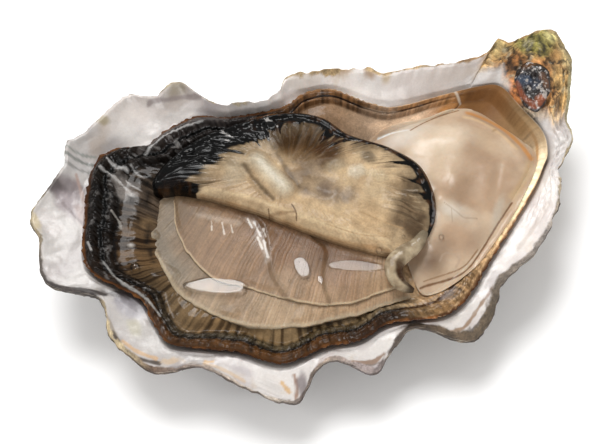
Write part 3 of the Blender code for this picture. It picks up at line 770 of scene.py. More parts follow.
@dataclass
class Shell:
    """The valve's skin: outside from the foot up, over the crumbly edge, and down the inside."""

    valve: Valve = field(default_factory=Valve)
    outside_rings: int = 54
    flank_rings: int = 10
    edge_rings: int = 7
    lip_rings: int = 46
    cup_rings: int = 4
    frill_count: float = 9.0
    frill_reach: float = 1.0
    box_margin: float = 0.05
    bill_dimming: float = 0.27
    beak_gain: tuple[float, float, float] = (1.66, 1.48, 1.22)

    def crumble(self) -> tuple[Array, Array]:
        """How far the real edge stays back from the plan, and its wander in height.

        Both are noise along the edge; the far wall and the beak crumble most.
        """
        valve = self.valve
        rough = mix(0.62, 1, smooth(8, 20, valve.rim[:, 1])) + 0.5 * valve.hinge
        place = valve.rim[:, :2]
        chips = smooth(0.1, 0.5, noise(place, 3, 4, 2))
        back = 0.1 + rough * (0.25 + 0.36 * noise(place, 1.3, 3, 3)) + 0.45 * chips * rough
        back = np.maximum(back, 0.05)
        rise = 0.4 * rough * noise(place, 1.8, 8, 3)
        return back, rise

    def levels(self) -> Array:
        """Heights of the outside's rings as parts of the whole, closer together near the edge."""
        return 1 - (1 - np.linspace(0, 1, self.outside_rings)) ** 1.3

    def flank(self, below: Array, above: Array) -> Array:
        """Rings up the broken edge, from the outside's last ring to the inside's first.

        Thin layers stand out by noise that changes fast with height and slowly along the edge.
        """
        valve = self.valve
        part = np.linspace(0, 1, self.flank_rings + 2)[1:-1, None]
        rings = below + (above - below) * part[..., None]
        layer = self.layers(rings)
        outward = (valve.rim[:, :2] - valve.hub) / valve.reach[:, None]
        stand = 0.42 * layer * np.sin(math.pi * part) * (1 - 0.5 * valve.hinge)
        rings[..., :2] += outward * stand[..., None]
        return rings

    def layers(self, rings: Array) -> Array:
        """The edge's thin layers: noise of the height, bent slowly along the edge."""
        run = np.broadcast_to(self.valve.length, rings.shape[:2])
        bent = rings[..., 2] + 0.5 * ripple(run, 4, 68, 2)
        return weave(67, 3, bent / 0.36, run / 3.2)

    def outside(self, back: Array, rise: Array) -> tuple[Array, ...]:
        """Rings of the outside, from near the middle of the foot to just under the edge.

        A point's distance from its hub grows as level to the power 1 / belly, and never comes
        nearer to the inside face than the wall.  Shingles stand out by a sawtooth of the
        level, bent by noise round the shell, and low ribs run down from the lobes.
        """
        valve = self.valve
        level = self.levels()[:, None]
        top = valve.rim[:, 2] - valve.lip_thickness + rise
        height = top * level
        belly = valve.foot_size + (1 - valve.foot_size) * level ** (1 / valve.belly_round)
        wall = valve.wall * (1 - 0.5 * smooth(0.8, 1, level))
        backed = np.maximum(valve.reach * belly, valve.inside_at(height) + wall)
        ring = valve.ring(backed, height)
        wander = noise(ring / 9, 1, 21, 3)
        phase = level * self.frill_count + 0.9 * wander
        shingle = (phase % 1.0) ** 2
        grown = window(0.03, 0.2, 0.93, 1, level)
        ribs = ripple(valve.length, 7, 31, 2) * 0.5 + ripple(valve.length, 2.6, 32, 2) * 0.3
        pits = noise(ring, 1.7, 40, 3)
        stand = grown * (self.frill_reach * (shingle - 0.25) + 0.6 * ribs + 0.35 * pits)
        held = np.maximum(backed + stand, valve.inside_at(height) + 0.5 * wall)
        distance = np.minimum(held, valve.reach + 0.9 * (1 - valve.hinge)) - back * level
        rings = valve.ring(distance, height)
        return rings, shingle, wander

    def inside(self, back: Array, rise: Array) -> Array:
        """Rings of the inside: over the rounded edge, down the lip and into the cup.

        The lip's height falls from the edge to the mantle line as (1 - part) to the power
        flare, and the cup's as part to the power fullness.  Slow noise makes the pearl wavy.
        The edge's crumbling fades out over the first 3 mm, so that it cuts no flutes below.
        """
        valve = self.valve
        part = np.r_[np.linspace(0, 0.1, self.edge_rings, endpoint=False),
                     np.linspace(0.1, 1, self.lip_rings)][:, None]
        from_edge = (valve.reach - valve.depth) * part
        wander = fall(0, 3, from_edge)
        lift = (valve.rim[:, 2] - valve.floor) * (1 - part) ** valve.flare
        rings = valve.ring(valve.reach - from_edge - back * wander,
                           valve.floor + lift + rise * wander)
        rounding = 0.45 * fall(0, 0.7, from_edge)
        waves = 0.5 * noise(rings[..., :2], 5.5, 51, 2) + 0.12 * noise(rings[..., :2], 1.4, 52, 2)
        amount = window(0, 0.15, 0.85, 1, part)
        rough = valve.hinge * smooth(0, 1, from_edge) * fall(0.6, 0.9, part)
        terrace = 0.35 * ((from_edge / 1.1 + 0.5 * noise(rings[..., :2], 3, 53, 2)) % 1)
        flakes = ridged(noise(rings[..., :2], 2.4, 54, 3))
        flaky = rough * (0.7 * flakes + 0.5 * noise(rings[..., :2], 0.9, 55, 2) + 1.8 * terrace
                         - 0.5)
        rings[..., 2] += waves * amount * (1 - valve.hinge) - rounding + flaky
        deep = np.linspace(0.97, 0.15, self.cup_rings)[:, None]
        cup = valve.cup_floor + (valve.floor - valve.cup_floor) * deep**valve.cup_fullness
        return np.concatenate([rings, valve.ring(valve.depth * deep, cup)])

    def stations(self) -> tuple[Array, Array, Array]:
        """White gap, edge colour and crust colour on each ray, even between the stations."""
        curve = np.vstack([self.valve.rim, self.valve.rim[:1]])
        total = lengths(curve)[-1]
        places = np.array([[station.at for station in EDGE_STATIONS]])
        spots = near(curve, places)[1][0]
        order = np.argsort(spots)
        spots = spots[order]
        values = np.array([[s.white_gap, *linear(s.edge), *linear(s.crust)]
                           for s in EDGE_STATIONS])[order]
        wanted = self.valve.length
        read = np.stack([np.interp(wanted, spots, column, period=total)
                         for column in values.T], 1)
        return read[:, 0], read[:, 1:4], read[:, 4:7]

    def crust_tint(self, out: Array, crust: Array, shingle: Array, wander: Array) -> Array:
        """Tint of the outside: its crust pales, darkens, greens and rusts in bands."""
        length = self.valve.length
        band = noise(out, 2.2, 61, 3)
        tint = shade(np.broadcast_to(crust, out.shape), 0.45 * band)
        tint = dye(tint, 0xcec4b8, 0.6 * smooth(0.45, 0.95, shingle) * smooth(-0.5, 0.5, band))
        tint = dye(tint, 0x463c42, 0.55 * smooth(0.1, 0.7, noise(out, 6, 62, 3)))
        tint = dye(tint, 0x686c42, 0.5 * smooth(0.2, 0.8, noise(out, 7, 63, 3)))
        tint = tint * (1 - 0.35 * smooth(0.8, 0.95, self.levels()))[:, None, None]
        tint = shade(tint, 0.5 * weave(65, 3, out[..., 2] / 0.55 + wander, length / 12))
        tint = dye(tint, 0x967046, 0.5 * smooth(0.25, 0.6, noise(out, 3.4, 66, 3)))
        return tint * (1 + 0.22 * ripple(length, 1.2, 64, 2)[None, :, None])

    def torn_tint(self, flank: Array, crust: Array, edge: Array) -> Array:
        """Tint of the broken edge: from the crust's to the edge's, with dark and pale layers."""
        layer = self.layers(flank)
        up = np.linspace(0, 1, self.flank_rings)[:, None, None]
        torn = shade(mix(crust[None], edge[None], up), 0.3 * noise(flank, 0.6, 59, 2))
        torn = dye(torn, 0x3e322c, 0.85 * smooth(0.05, 0.3, layer))
        return dye(torn, 0xe2d4be, 0.6 * smooth(0.1, 0.35, -layer))

    def pearl_tint(self, plan: Array, from_edge: Array) -> Array:
        """Tint of the pearl: white with fine growth lines, lilac and rusty clouds, and marks.

        It is dimmed towards the bill, and painted light brightens it on the far wall and at
        the near right.
        """
        x, y = plan[..., 0], plan[..., 1]
        pearl = dye(linear(0xf4eee9), 0xe4dbd7, smooth(-0.3, 0.7, noise(plan, 6, 71, 3)))
        growth = weave(72, 2, from_edge / 0.5, self.valve.length / 9)
        here = smooth(-0.2, 0.5, noise(plan, 6, 70, 2))
        fine_lines = 0.05 + 0.3 * fall(0.6, 3.4, from_edge) * here
        pearl = shade(pearl, -fine_lines * np.abs(growth))
        lilac = 0.45 * smooth(0, 0.7, noise(plan, 7, 79, 3))
        lilac = lilac * (1 - 0.7 * smooth(14, 18, y) * smooth(-12, 0, x))
        pearl = dye(pearl, 0xc8bec0, lilac)
        rusty = 0.35 * smooth(0.3, 0.6, noise(plan, 2.6, 69, 3)) * fall(0.8, 4, from_edge)
        pearl = dye(pearl, 0xceb696, rusty)
        pearl = shade(pearl, -self.bill_dimming * fall(-38, -26, x))
        # Painted light: the far wall, in the key light's shade, is brightened.
        far_wall_painted_light = smooth(15, 19, y) * smooth(-8, 0, x)
        pearl = shade(pearl, (0.5 - 0.26 * smooth(12, 18, x)) * far_wall_painted_light)
        # Painted light: the near right is brightened beyond the pearl's own white.
        pearl = shade(pearl, 0.26 * smooth(14, 26, x) * fall(-12, -5, y))
        return paint(pearl, plan, NACRE_MARKS)

    def beak_tint(self, plan: Array, from_edge: Array) -> tuple[Array, Array]:
        """Tint of the worn beak, flecked and cracked, and how much of it hides the pearl."""
        valve = self.valve
        x, y = plan[..., 0], plan[..., 1]
        worn = paint(np.broadcast_to(linear(0xb0966c), (*x.shape, 3)), plan, BEAK_MARKS)
        flecks = noise(stack(x, y * 0.5, from_edge * 2.2), 0.8, 73, 3)
        cracks = fall(0.02, 0.14, np.abs(noise(stack(x, 0.6 * y), 1.6, 77, 3)))
        # Painted shade and light: the same noise as the inside's flakes makes the tint darker in
        # their valleys and lighter on their crests.
        crest = smooth(-0.3, 0.8, ridged(noise(plan, 2.4, 54, 3)))
        worn = worn * ((0.5 + 0.7 * crest) * (1 + 1.1 * flecks) * (1 - 0.85 * cracks))[..., None]
        worn = dye(worn * self.beak_gain, 0xd8ceae, 0.5 * smooth(0.3, 0.6, noise(plan, 1, 78, 3)))
        beak = smooth(0.1, 0.7, valve.hinge) * smooth(-1.5, 3.5, y)
        shelf = beak * smooth(0, 0.25, from_edge - 0.2)
        inner = smooth(0.6, 0.8, from_edge / np.maximum(valve.reach - valve.depth, 0.1))
        at_pad = Stain((46.4, 11), (6, 8), 0x000000, 1, 0, 0.4, 0.3).cover(plan)
        return worn, np.maximum(shelf * (1 - inner), at_pad)

    def colours(self, rings: Array, shingle: Array, wander: Array) -> tuple[Array, Array]:
        """Tint and polish of every ring.

        Nearer to the edge than the white gap, the inside's pearl gives way to the edge's colour.
        """
        gap, edge, crust = self.stations()
        first = self.outside_rings
        out, flank, lip = np.split(rings, [first, first + self.flank_rings])
        plan = lip[..., :2]
        from_edge = self.valve.reach - np.linalg.norm(plan - self.valve.hub, axis=2)
        worn, worn_part = self.beak_tint(plan, from_edge)
        pearl = mix(self.pearl_tint(plan, from_edge), worn, worn_part[..., None])
        ragged = gap * (1 + 0.5 * noise(plan, 1.3, 74, 3)) + 0.15 * noise(plan, 0.5, 75, 2)
        at_edge = fall(0.75, 1.15, from_edge / np.maximum(ragged, 0.05))
        crumbs = shade(np.broadcast_to(edge, pearl.shape), 0.5 * noise(plan, 0.7, 76, 3))
        pearl = mix(pearl, crumbs, at_edge[..., None])
        outer = self.crust_tint(out, crust, shingle, wander)
        torn = self.torn_tint(flank, crust, edge)
        dull = np.broadcast_to(0.15 + 0.2 * smooth(0.3, 0.9, shingle), shingle.shape)
        gloss = np.clip(0.95 - 0.8 * at_edge - 0.75 * worn_part, 0, 1)
        return (np.clip(np.concatenate([outer, torn, pearl]), *SHELL_TINTS),
                np.concatenate([dull, np.full(flank.shape[:2], 0.2), gloss]))

    def build(self) -> bpy.types.Object:
        """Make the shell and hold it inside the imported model's box."""
        low, high = (np.array(corner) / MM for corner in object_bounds())
        back, rise = self.crumble()
        out, shingle, wander = self.outside(back, rise)
        inner = self.inside(back, rise)
        rings = np.concatenate([out, self.flank(out[-1], inner[0]), inner])
        rings = np.clip(rings, low + self.box_margin, high - self.box_margin)
        rings[:self.outside_rings, :, 2] = np.maximum(rings[:self.outside_rings, :, 2], 0.0)
        rings[0, :, 2] = 0.0
        tint, polish = self.colours(rings, shingle, wander)
        piece = skin("valve_shell", rings, tint, polish)
        settle(piece, Finishes.SHELL.value, "nacre", "shell")
        return piece


# ------------------------------------------------------------------ the lower mantle
@dataclass(frozen=True)
class FringeStation:
    """The mantle's edge at one place of the mantle line; between stations it changes evenly.

    Colours go inwards: hair, outer fold, groove, inner fold, near bed, far bed.  width is the
    outer fold's, crest its height, ruffle the depth of its cross ridges, the next number how
    much painted silver highlight shows on the crests, and stripes how strongly the bed is
    striped.
    """

    at: Place
    hair: Colour
    outer: Colour
    groove: Colour
    inner: Colour
    bed: Colour
    deep: Colour
    width: float
    crest: float
    ruffle: float
    painted_glint: float
    stripes: float


FRINGE_STATIONS: tuple[FringeStation, ...] = tuple(FringeStation(*row) for row in (
    ((-38.5, 24.5), 0x4a2c1a, 0x1e1813, 0x090807, 0x2c2622, 0x463a30, 0x786858,
     3, 1.2, 0.42, 0.4, 1),
    ((-29, 23.5), 0x462a19, 0x28211d, 0x0a0908, 0x241f1c, 0x14110f, 0x241e19,
     2.8, 1.1, 0.36, 0.55, 0.6),
    ((-18, 26), 0x603c24, 0x423c3a, 0x0c0a09, 0x26211f, 0x0e0c0b, 0x1e1915,
     2.8, 0.9, 0.28, 0.7, 0.3),
    ((-5, 22.6), 0x54341e, 0x1a1411, 0x090807, 0x181310, 0x120e0c, 0x30241b,
     2.2, 0.7, 0.25, 0.4, 0.2),
    ((2.5, 23.6), 0x966c46, 0x745030, 0x2e1c10, 0x805c3c, 0x927254, 0xa68466,
     1.2, 0.45, 0.1, 0.1, 0.1),
    ((10.5, 21.5), 0xba9670, 0x7a5636, 0x28190f, 0x7c5c40, 0xa48466, 0xb09072,
     1.1, 0.45, 0.08, 0.1, 0.05),
    ((16.5, 16.8), 0xbe9e7c, 0x745438, 0x322014, 0x785e48, 0xb2967a, 0xc0a48a,
     1, 0.4, 0.08, 0.1, 0.05),
    ((27, 15), 0xc4a482, 0x805e3e, 0x3e2818, 0x8a6e54, 0xb69a80, 0xceb49a,
     1, 0.4, 0.05, 0.1, 0.05),
    ((32, 14.8), 0xceb292, 0x866240, 0x68482a, 0x825e3a, 0x865e38, 0x8a623c,
     1.1, 0.2, 0, 0, 0),
    ((37.5, 13.9), 0x96704c, 0x7a5432, 0x7a522f, 0x7e5632, 0x865e38, 0x8e6640,
     1.4, 0, 0, 0, 0),
    ((41.5, 11.4), 0x9c7650, 0x845e3a, 0x865e39, 0x8a623d, 0x946c46, 0x9c7650,
     1.4, 0, 0, 0, 0),
    # Its hair colour is pale: a painted highlight along the hollow's edge.
    ((44.8, 3), 0xd8c8b0, 0xac8e68, 0x9e7e58, 0x9c7c56, 0xa0805a, 0xa68660,
     1.6, 0, 0, 0, 0),
    ((43.4, -5), 0xceb896, 0xd6c2a2, 0xb28c62, 0xd4c0a0, 0xd0ba9a, 0xc8b090,
     1.9, 0.25, 0, 0, 0.1),
    ((37, -11.5), 0x7e5c3e, 0xd8c4a2, 0x8c623e, 0xd8c4a4, 0xd4be9e, 0xccb496,
     2.2, 0.35, 0.05, 0.05, 0.1),
    ((28, -18.6), 0x4c3422, 0xbaa280, 0x5c3e26, 0xbea684, 0xc6ae8e, 0xc6ae90,
     2.5, 0.45, 0.1, 0.1, 0.2),
    ((21, -24.4), 0x402a1b, 0x806a4e, 0x422a18, 0x988062, 0xb49c7c, 0xbaa084,
     3.1, 0.5, 0.14, 0.15, 0.3),
    ((10, -28.8), 0x3c2616, 0x68543a, 0x362416, 0x8e785c, 0x968062, 0xb09678,
     2.9, 0.6, 0.14, 0.25, 0.4),
    ((3, -27.4), 0x402614, 0x342418, 0x1e1610, 0x847054, 0xa28c6c, 0xb49c7a,
     2.2, 0.7, 0.24, 0.15, 0.7),
    ((-3, -27.8), 0x462a16, 0x3a2618, 0x18120d, 0x60503a, 0x9a805e, 0xc6aa82,
     2, 0.8, 0.28, 0.12, 0.9),
    ((-13, -27), 0x4a2c14, 0x58391d, 0x1a130c, 0x544630, 0x9c825e, 0xc8ac84,
     2.1, 0.8, 0.32, 0.08, 0.95),
    ((-22.5, -25.6), 0x4a2c14, 0x56381d, 0x1c140d, 0x504430, 0x8c7250, 0xbea078,
     2.1, 0.8, 0.32, 0.08, 0.9),
    ((-33, -19), 0x482c16, 0x50361f, 0x221a12, 0x42392c, 0x8a6e4c, 0xaa8a62,
     2.1, 0.8, 0.3, 0.12, 0.8),
    ((-39.3, -12), 0x54341b, 0x4c321d, 0x282017, 0x3e3529, 0x7e684c, 0x947a58,
     1.7, 0.7, 0.22, 0.5, 0.7),
    ((-42.5, -3.4), 0x5a361a, 0x2e2015, 0x0f0c0a, 0x2a221b, 0x604c34, 0x866e4e,
     2, 0.8, 0.24, 0.5, 0.9),
    ((-47.3, 3.8), 0x5c3618, 0x1c140f, 0x080706, 0x1e1814, 0x644c32, 0x826544,
     2.9, 1.1, 0.28, 0.3, 1),
    ((-45, 12.5), 0x503018, 0x15110e, 0x080706, 0x1a1512, 0x5c4731, 0x7a6145,
     3.1, 1.1, 0.32, 0.3, 1),
    ((-42, 19.4), 0x482b18, 0x191410, 0x090807, 0x241f1c, 0x50443a, 0x705e4c,
     3.1, 1.2, 0.42, 0.4, 1),
))


# Depths into the mantle, in widths of the outer fold, and which of a station's six colours
# stands at each.
KNOTS = (0, 0.05, 0.16, 0.92, 1.04, 1.2, 1.34, 1.95, 2.2, 5)
KNOT_COLOURS = (0, 0, 1, 1, 2, 2, 3, 3, 4, 5)


@dataclass
class MantleBed:
    """The lower mantle: two ruffled folds along the mantle line and the bed inside them."""

    around: int = 1120
    fringe_rings: int = 50
    bed_rings: int = 22
    inset: float = 0.45
    bed_level: float = 13.6
    bed_start: float = 2.3
    under_gap: float = 0.3
    stripe_tint: tuple[float, float, float] = (0.2, 0.165, 0.12)
    warm_gain: tuple[float, float, float] = (1.13, 1.0, 0.9)

    def stations(self, valve: Valve) -> tuple[Array, Array]:
        """Colours and sizes of the fringe on each ray, even between the stations."""
        curve = np.vstack([valve.line, valve.line[:1]])
        run = lengths(curve)
        spots = near(curve, np.array([[s.at for s in FRINGE_STATIONS]]))[1][0]
        order = np.argsort(spots)
        plan_run = lengths(curve[:, :2])
        colours = np.array([[linear(c) for c in (s.hair, s.outer, s.groove, s.inner, s.bed,
                                                 s.deep)]
                            for s in FRINGE_STATIONS])[order]
        sizes = np.array([[s.width, s.crest, s.ruffle, s.painted_glint, s.stripes]
                          for s in FRINGE_STATIONS])[order]

        def even(values: Array) -> Array:
            """The stations' values carried round the line."""
            flat = values.reshape(len(values), -1)
            read = [np.interp(plan_run[:-1], spots[order], column, period=plan_run[-1])
                    for column in flat.T]
            return np.stack(read, 1).reshape(-1, *values.shape[1:])

        self.run = run[:-1]
        return even(colours), even(sizes)

    def fringe(self, valve: Valve, sizes: Array) -> tuple[Array, ...]:
        """Rings of the two folds, their places across the fringe, and its width on each ray.

        A point's place is t, its distance from the mantle line over the outer fold's width.
        The height is a hump of cos squared for each fold on a smooth step down to the bed,
        plus cross ridges, which are noise along the line.
        """
        width, crest, ruffle = sizes.T[:3]
        start = np.minimum(self.bed_start * width, 0.7 * valve.depth)
        t = np.linspace(0, self.bed_start, self.fringe_rings)[:, None]
        wave = 0.2 * ripple(self.run, 4.2, 81, 2) + 0.1 * ripple(self.run, 1.5, 82, 2)
        swell = window(0, 0.3, 1.9, 2.3, t)
        fold = t + wave * swell * smooth(0.05, 0.3, ruffle)
        height = crest * (bump((fold - 0.52) / 0.55) + 0.7 * bump((fold - 1.55) / 0.42)
                          + 0.25 * bump((fold - 1.08) / 0.14))
        drop = mix(1.6, 2.6, valve.hinge) * smooth(0.6, 2.3, t)
        ridge_line = self.run + 0.5 * np.sin(t * 3) + 0.25 * weave(83, 2, self.run / 2, fold * 1.4)
        combs = 1 - np.abs(ripple(ridge_line, 0.75, 84, 2)) * 2.2
        crumple = weave(85, 3, ridge_line / 0.8, fold * 2.6)
        ridges = ruffle * swell * (0.75 * combs + 0.9 * crumple)
        hair = 0.22 * (1 + 1.5 * ripple(self.run, 0.6, 86, 2)) * smooth(0.02, 0.12, ruffle)
        distance = valve.depth - self.inset - start * t / self.bed_start + hair * fall(0, 0.12, t)
        return valve.ring(distance, valve.line[:, 2] + height - drop + ridges), fold, start

    def bed(self, valve: Valve, margin: Array, start: Array, part: Array, stripes: Array) -> Array:
        """Rings inside the folds: eased from the margin down to the bed's level, with pleats.

        Args:
            valve: the rays.
            margin: height of the fringe's last ring.
            start: width of the fringe.
            part: how far out each ring lies, 1 at the margin and 0 at the hub.
            stripes: how strongly the bed is striped.
        """
        size = valve.depth - self.inset - start
        inwards = size * (1 - part)
        pleats = weave(93, 2, self.run / 1.7, inwards / 5)
        lifted = window(0, 2.5, 6, 9.5, inwards) * (1 - valve.hinge)
        eased = self.bed_level + (margin - self.bed_level) * part**2.6
        return valve.ring(size * part, eased + lifted * (1.2 + 0.4 * stripes * pleats))

    def underside(self, valve: Valve) -> Array:
        """A few rings close over the inside of the cup."""
        part = np.array([0.1, 0.45, 0.75, 0.93, 1.0])[:, None]
        floor = valve.cup_floor + (valve.floor - valve.cup_floor) * part**valve.cup_fullness
        return valve.ring((valve.depth - 2 * self.inset) * part,
                          np.minimum(floor + self.under_gap, valve.line[:, 2] - 0.9))

    def blend(self, depth: Array, colours: Array) -> Array:
        """The stations' colours by depth into the mantle, even between the KNOTS."""
        spot = np.interp(depth, KNOTS, range(len(KNOTS)))
        low = np.minimum(spot.astype(int), len(KNOTS) - 2)
        keys, ray = np.array(KNOT_COLOURS), np.arange(self.around)
        return mix(colours[ray, keys[low]], colours[ray, keys[low + 1]], (spot - low)[..., None])

    def pattern(self, top: Array, tint: Array, depth: Array, sizes: Array) -> Array:
        """The blended tint with stripes on the bed, and teeth, russet and painted silver
        highlights on the folds.

        On the right the mantle is paler and worn by fine crumbs, and warmer below.  Painted light
        brightens the strip at the near right and the low bed beside the body's far side.
        """
        width, _, ruffle, painted_glint, stripes = sizes.T
        x, y = top[..., 0], top[..., 1]
        line = np.broadcast_to(self.run, depth.shape)
        flow = line + 0.7 * weave(87, 2, line / 5, depth)
        stripe = (0.42 * np.sin(2 * math.pi * flow / 2.1) + 0.24 - 0.22 * (depth - 2)
                  + 1.1 * weave(88, 3, flow / 1.4, depth / 2.6))
        on_bed = window(1.7, 2.1, 5.5, 6.5, depth) * stripes
        tint = mix(tint, tint * self.stripe_tint, (on_bed * smooth(0.1, 0.62, stripe))[..., None])
        hairline = weave(89, 2, flow / 0.55, depth / 2)
        tint = shade(tint, -0.5 * on_bed * smooth(0, 0.45, hairline))
        on_fold = window(0.1, 0.3, 1.9, 2.2, depth)
        bright = smooth(24, 34, x)
        tint = shade(tint, (0.8 - 0.5 * bright) * on_fold * ripple(line, 0.55, 90, 2))
        russet = smooth(0.1, 0.5, ripple(line, 2.6, 94, 3)) * fall(0.05, 0.14, depth)
        tint = dye(tint, 0x84562e, 0.6 * russet * smooth(0.08, 0.16, ruffle))
        # Painted highlights: silver streaks on the fold crests stand for reflected light.
        painted_silver_glints = weave(91, 3, line / 1.1, depth * 3.2 + 0.4 * line)
        tint = dye(tint, 0xbebab7, 0.6 * on_fold * painted_glint * smooth(0.32, 0.52, painted_silver_glints))
        calm = smooth(30, 36, x) * smooth(-8, -2, y)
        tint = shade(tint, 0.3 * noise(top[..., :2], 0.9, 92, 3) * (1 - 0.8 * calm))
        right = smooth(4, 12, x) * fall(-9, -4, y)
        crumbs = weave(96, 3, line / 0.8, depth * width / 0.24)
        worn = 0.45 * right * (1 - 0.7 * smooth(24, 32, x)) * smooth(0.12, 0.4, crumbs)
        tint = mix(tint, tint * 0.42, worn[..., None])
        tint = dye(tint, 0xe2cca8, 0.3 * right * smooth(0.15, 0.5, -crumbs))
        # Paler at the lower right; painted light brightens the near-right strip and the low,
        # shaded bed beside the body's far side.
        pale = (0.75 * smooth(2, 8, x) * fall(-9, -4, y) + 0.9 * smooth(22, 30, x) * fall(-4, 1, y)
                + 0.95 * window(12, 17, 31, 34, x) * window(6, 9, 14, 16, y))
        warm = (right * (1 - bright))[..., None]
        return shade(tint, pale) * mix(np.ones(3), np.array(self.warm_gain), warm)

    def build(self, relief: Relief) -> bpy.types.Object:
        """Make the lower mantle: its underside, the folds and the bed."""
        valve = Valve(around=self.around)
        colours, sizes = self.stations(valve)
        fringe, fold, start = self.fringe(valve, sizes)
        part = np.linspace(1, 0.06, self.bed_rings + 1)[1:, None]
        bed = self.bed(valve, fringe[-1, :, 2], start, part, sizes[:, 4])
        under, top = self.underside(valve), np.concatenate([fringe, bed])
        depth = np.concatenate([fold, self.bed_start + (1 - part) * 4.5 * np.ones(self.around)])
        tint = self.pattern(top, self.blend(depth, colours), depth, sizes)
        tint = paint(tint, top[..., :2], BED_MARKS)
        relief.add(top)
        milky = smooth(24, 34, top[..., 0]) * smooth(-20, -14, top[..., 1])
        tint = np.concatenate([np.repeat(tint[:1], len(under), 0), tint])
        wet = np.concatenate([np.ones(under.shape[:2]), 1 - 0.85 * milky])
        piece = skin("lower_mantle", np.concatenate([under, top]), np.clip(tint, *MANTLE_TINTS),
                     wet)
        settle(piece, Finishes.FRINGE.value, "mantle", "mantle_lower")
        return piece


# Marks on the lower mantle, among them painted highlights and painted sheen on its dark folds.
BED_MARKS: tuple = (
    # Painted highlights: pale glints on the dark folds.
    Stroke(((-36.8, 22.8), (-35, 21), (-33.8, 20.2)), 0.7, 0xceccca, 0.8, 1.1),
    Stroke(((-38.6, 21.6), (-37.2, 20.2), (-36.6, 18.6)), 0.5, 0xbab8b6, 0.75, 1.1),
    Stroke(((-32.8, 20.8), (-31.8, 18.2)), 0.5, 0xc2c0be, 0.75, 1.1),
    # Painted sheen: a grey band along the black fold, then a painted highlight line on it.
    Stroke(((-30.4, 22.2), (-26.6, 23.6), (-22.2, 24.4), (-17.4, 24.6), (-12.6, 22.8)), 1.1,
           0x68625f, 0.65, 0.5),
    Stroke(((-29.6, 21.4), (-26.2, 22.8), (-21.8, 23.6), (-17.2, 23.8)), 0.4, 0xceccca, 0.7, 0.7),
    # Painted highlights: glints on the dark folds.
    Stroke(((-45.6, 7.4), (-45.5, 5.6)), 0.4, 0xceccca, 0.6, 1.1),
    Stroke(((-39.4, 12.6), (-38.6, 10.8), (-38.8, 9.2)), 0.5, 0xc4beb6, 0.5, 1.1),
    # Painted sheen and highlights: a grey patch and pale glints on the dark folds.
    Stain((-35.6, 16.8), (2, 3), 0xb0a8a2, 0.55, -10, 0.9),
    Stroke(((-36.6, 19.4), (-35.4, 17.4), (-34.6, 15)), 0.5, 0xd6d2ce, 0.7, 0.8),
    Stroke(((-34.6, 18.4), (-33.2, 16)), 0.4, 0xcecac6, 0.65, 0.8),
    Stain((-33.6, 8.6), (1.8, 1.2), 0x967a58, 0.6, 0, 0.6),
    # Painted highlight: a glint on the dark fold.
    Stroke(((-38.2, 6.4), (-38, 4.8)), 0.7, 0xcec8c0, 0.6, 1.1),
    Stroke(((-30.4, 19), (-31.4, 15.4), (-33.2, 10), (-34.9, 5), (-34.9, 1)), 0.7, 0x0e0c0b, 0.8),
    Stain((37.5, 10.6), (4.6, 3), 0x7e5632, 0.7, -40, 0.1, 0.9),
    Stain((43.4, 0.5), (1.6, 4), 0xac8e6a, 0.6, 0, 0.1, 0.9),
    Stain((16, 14.4), (6, 1.6), 0xb2967c, 0.6, -20),
    Stroke(((31.8, 14.8), (32, 14), (32.4, 12.8)), 0.6, 0xe4d6c4, 0.8),
    # Painted highlight: a glint along the near-left fold.
    Stroke(((-44, 3), (-42.6, -1.4), (-39.4, -5.4), (-37.6, -10)), 0.5, 0xceccc8, 0.55),
    Stain((13.6, -25), (2.2, 0.9), 0xaca09a, 0.6, 20),
)


# ------------------------------------------------------------------ the gills
@dataclass(frozen=True)
class Ledge:
    """A step in a leaf where one fold of it lies over the next, with painted shade along it."""

    path: tuple[Place, ...]
    height: float
    fade: float


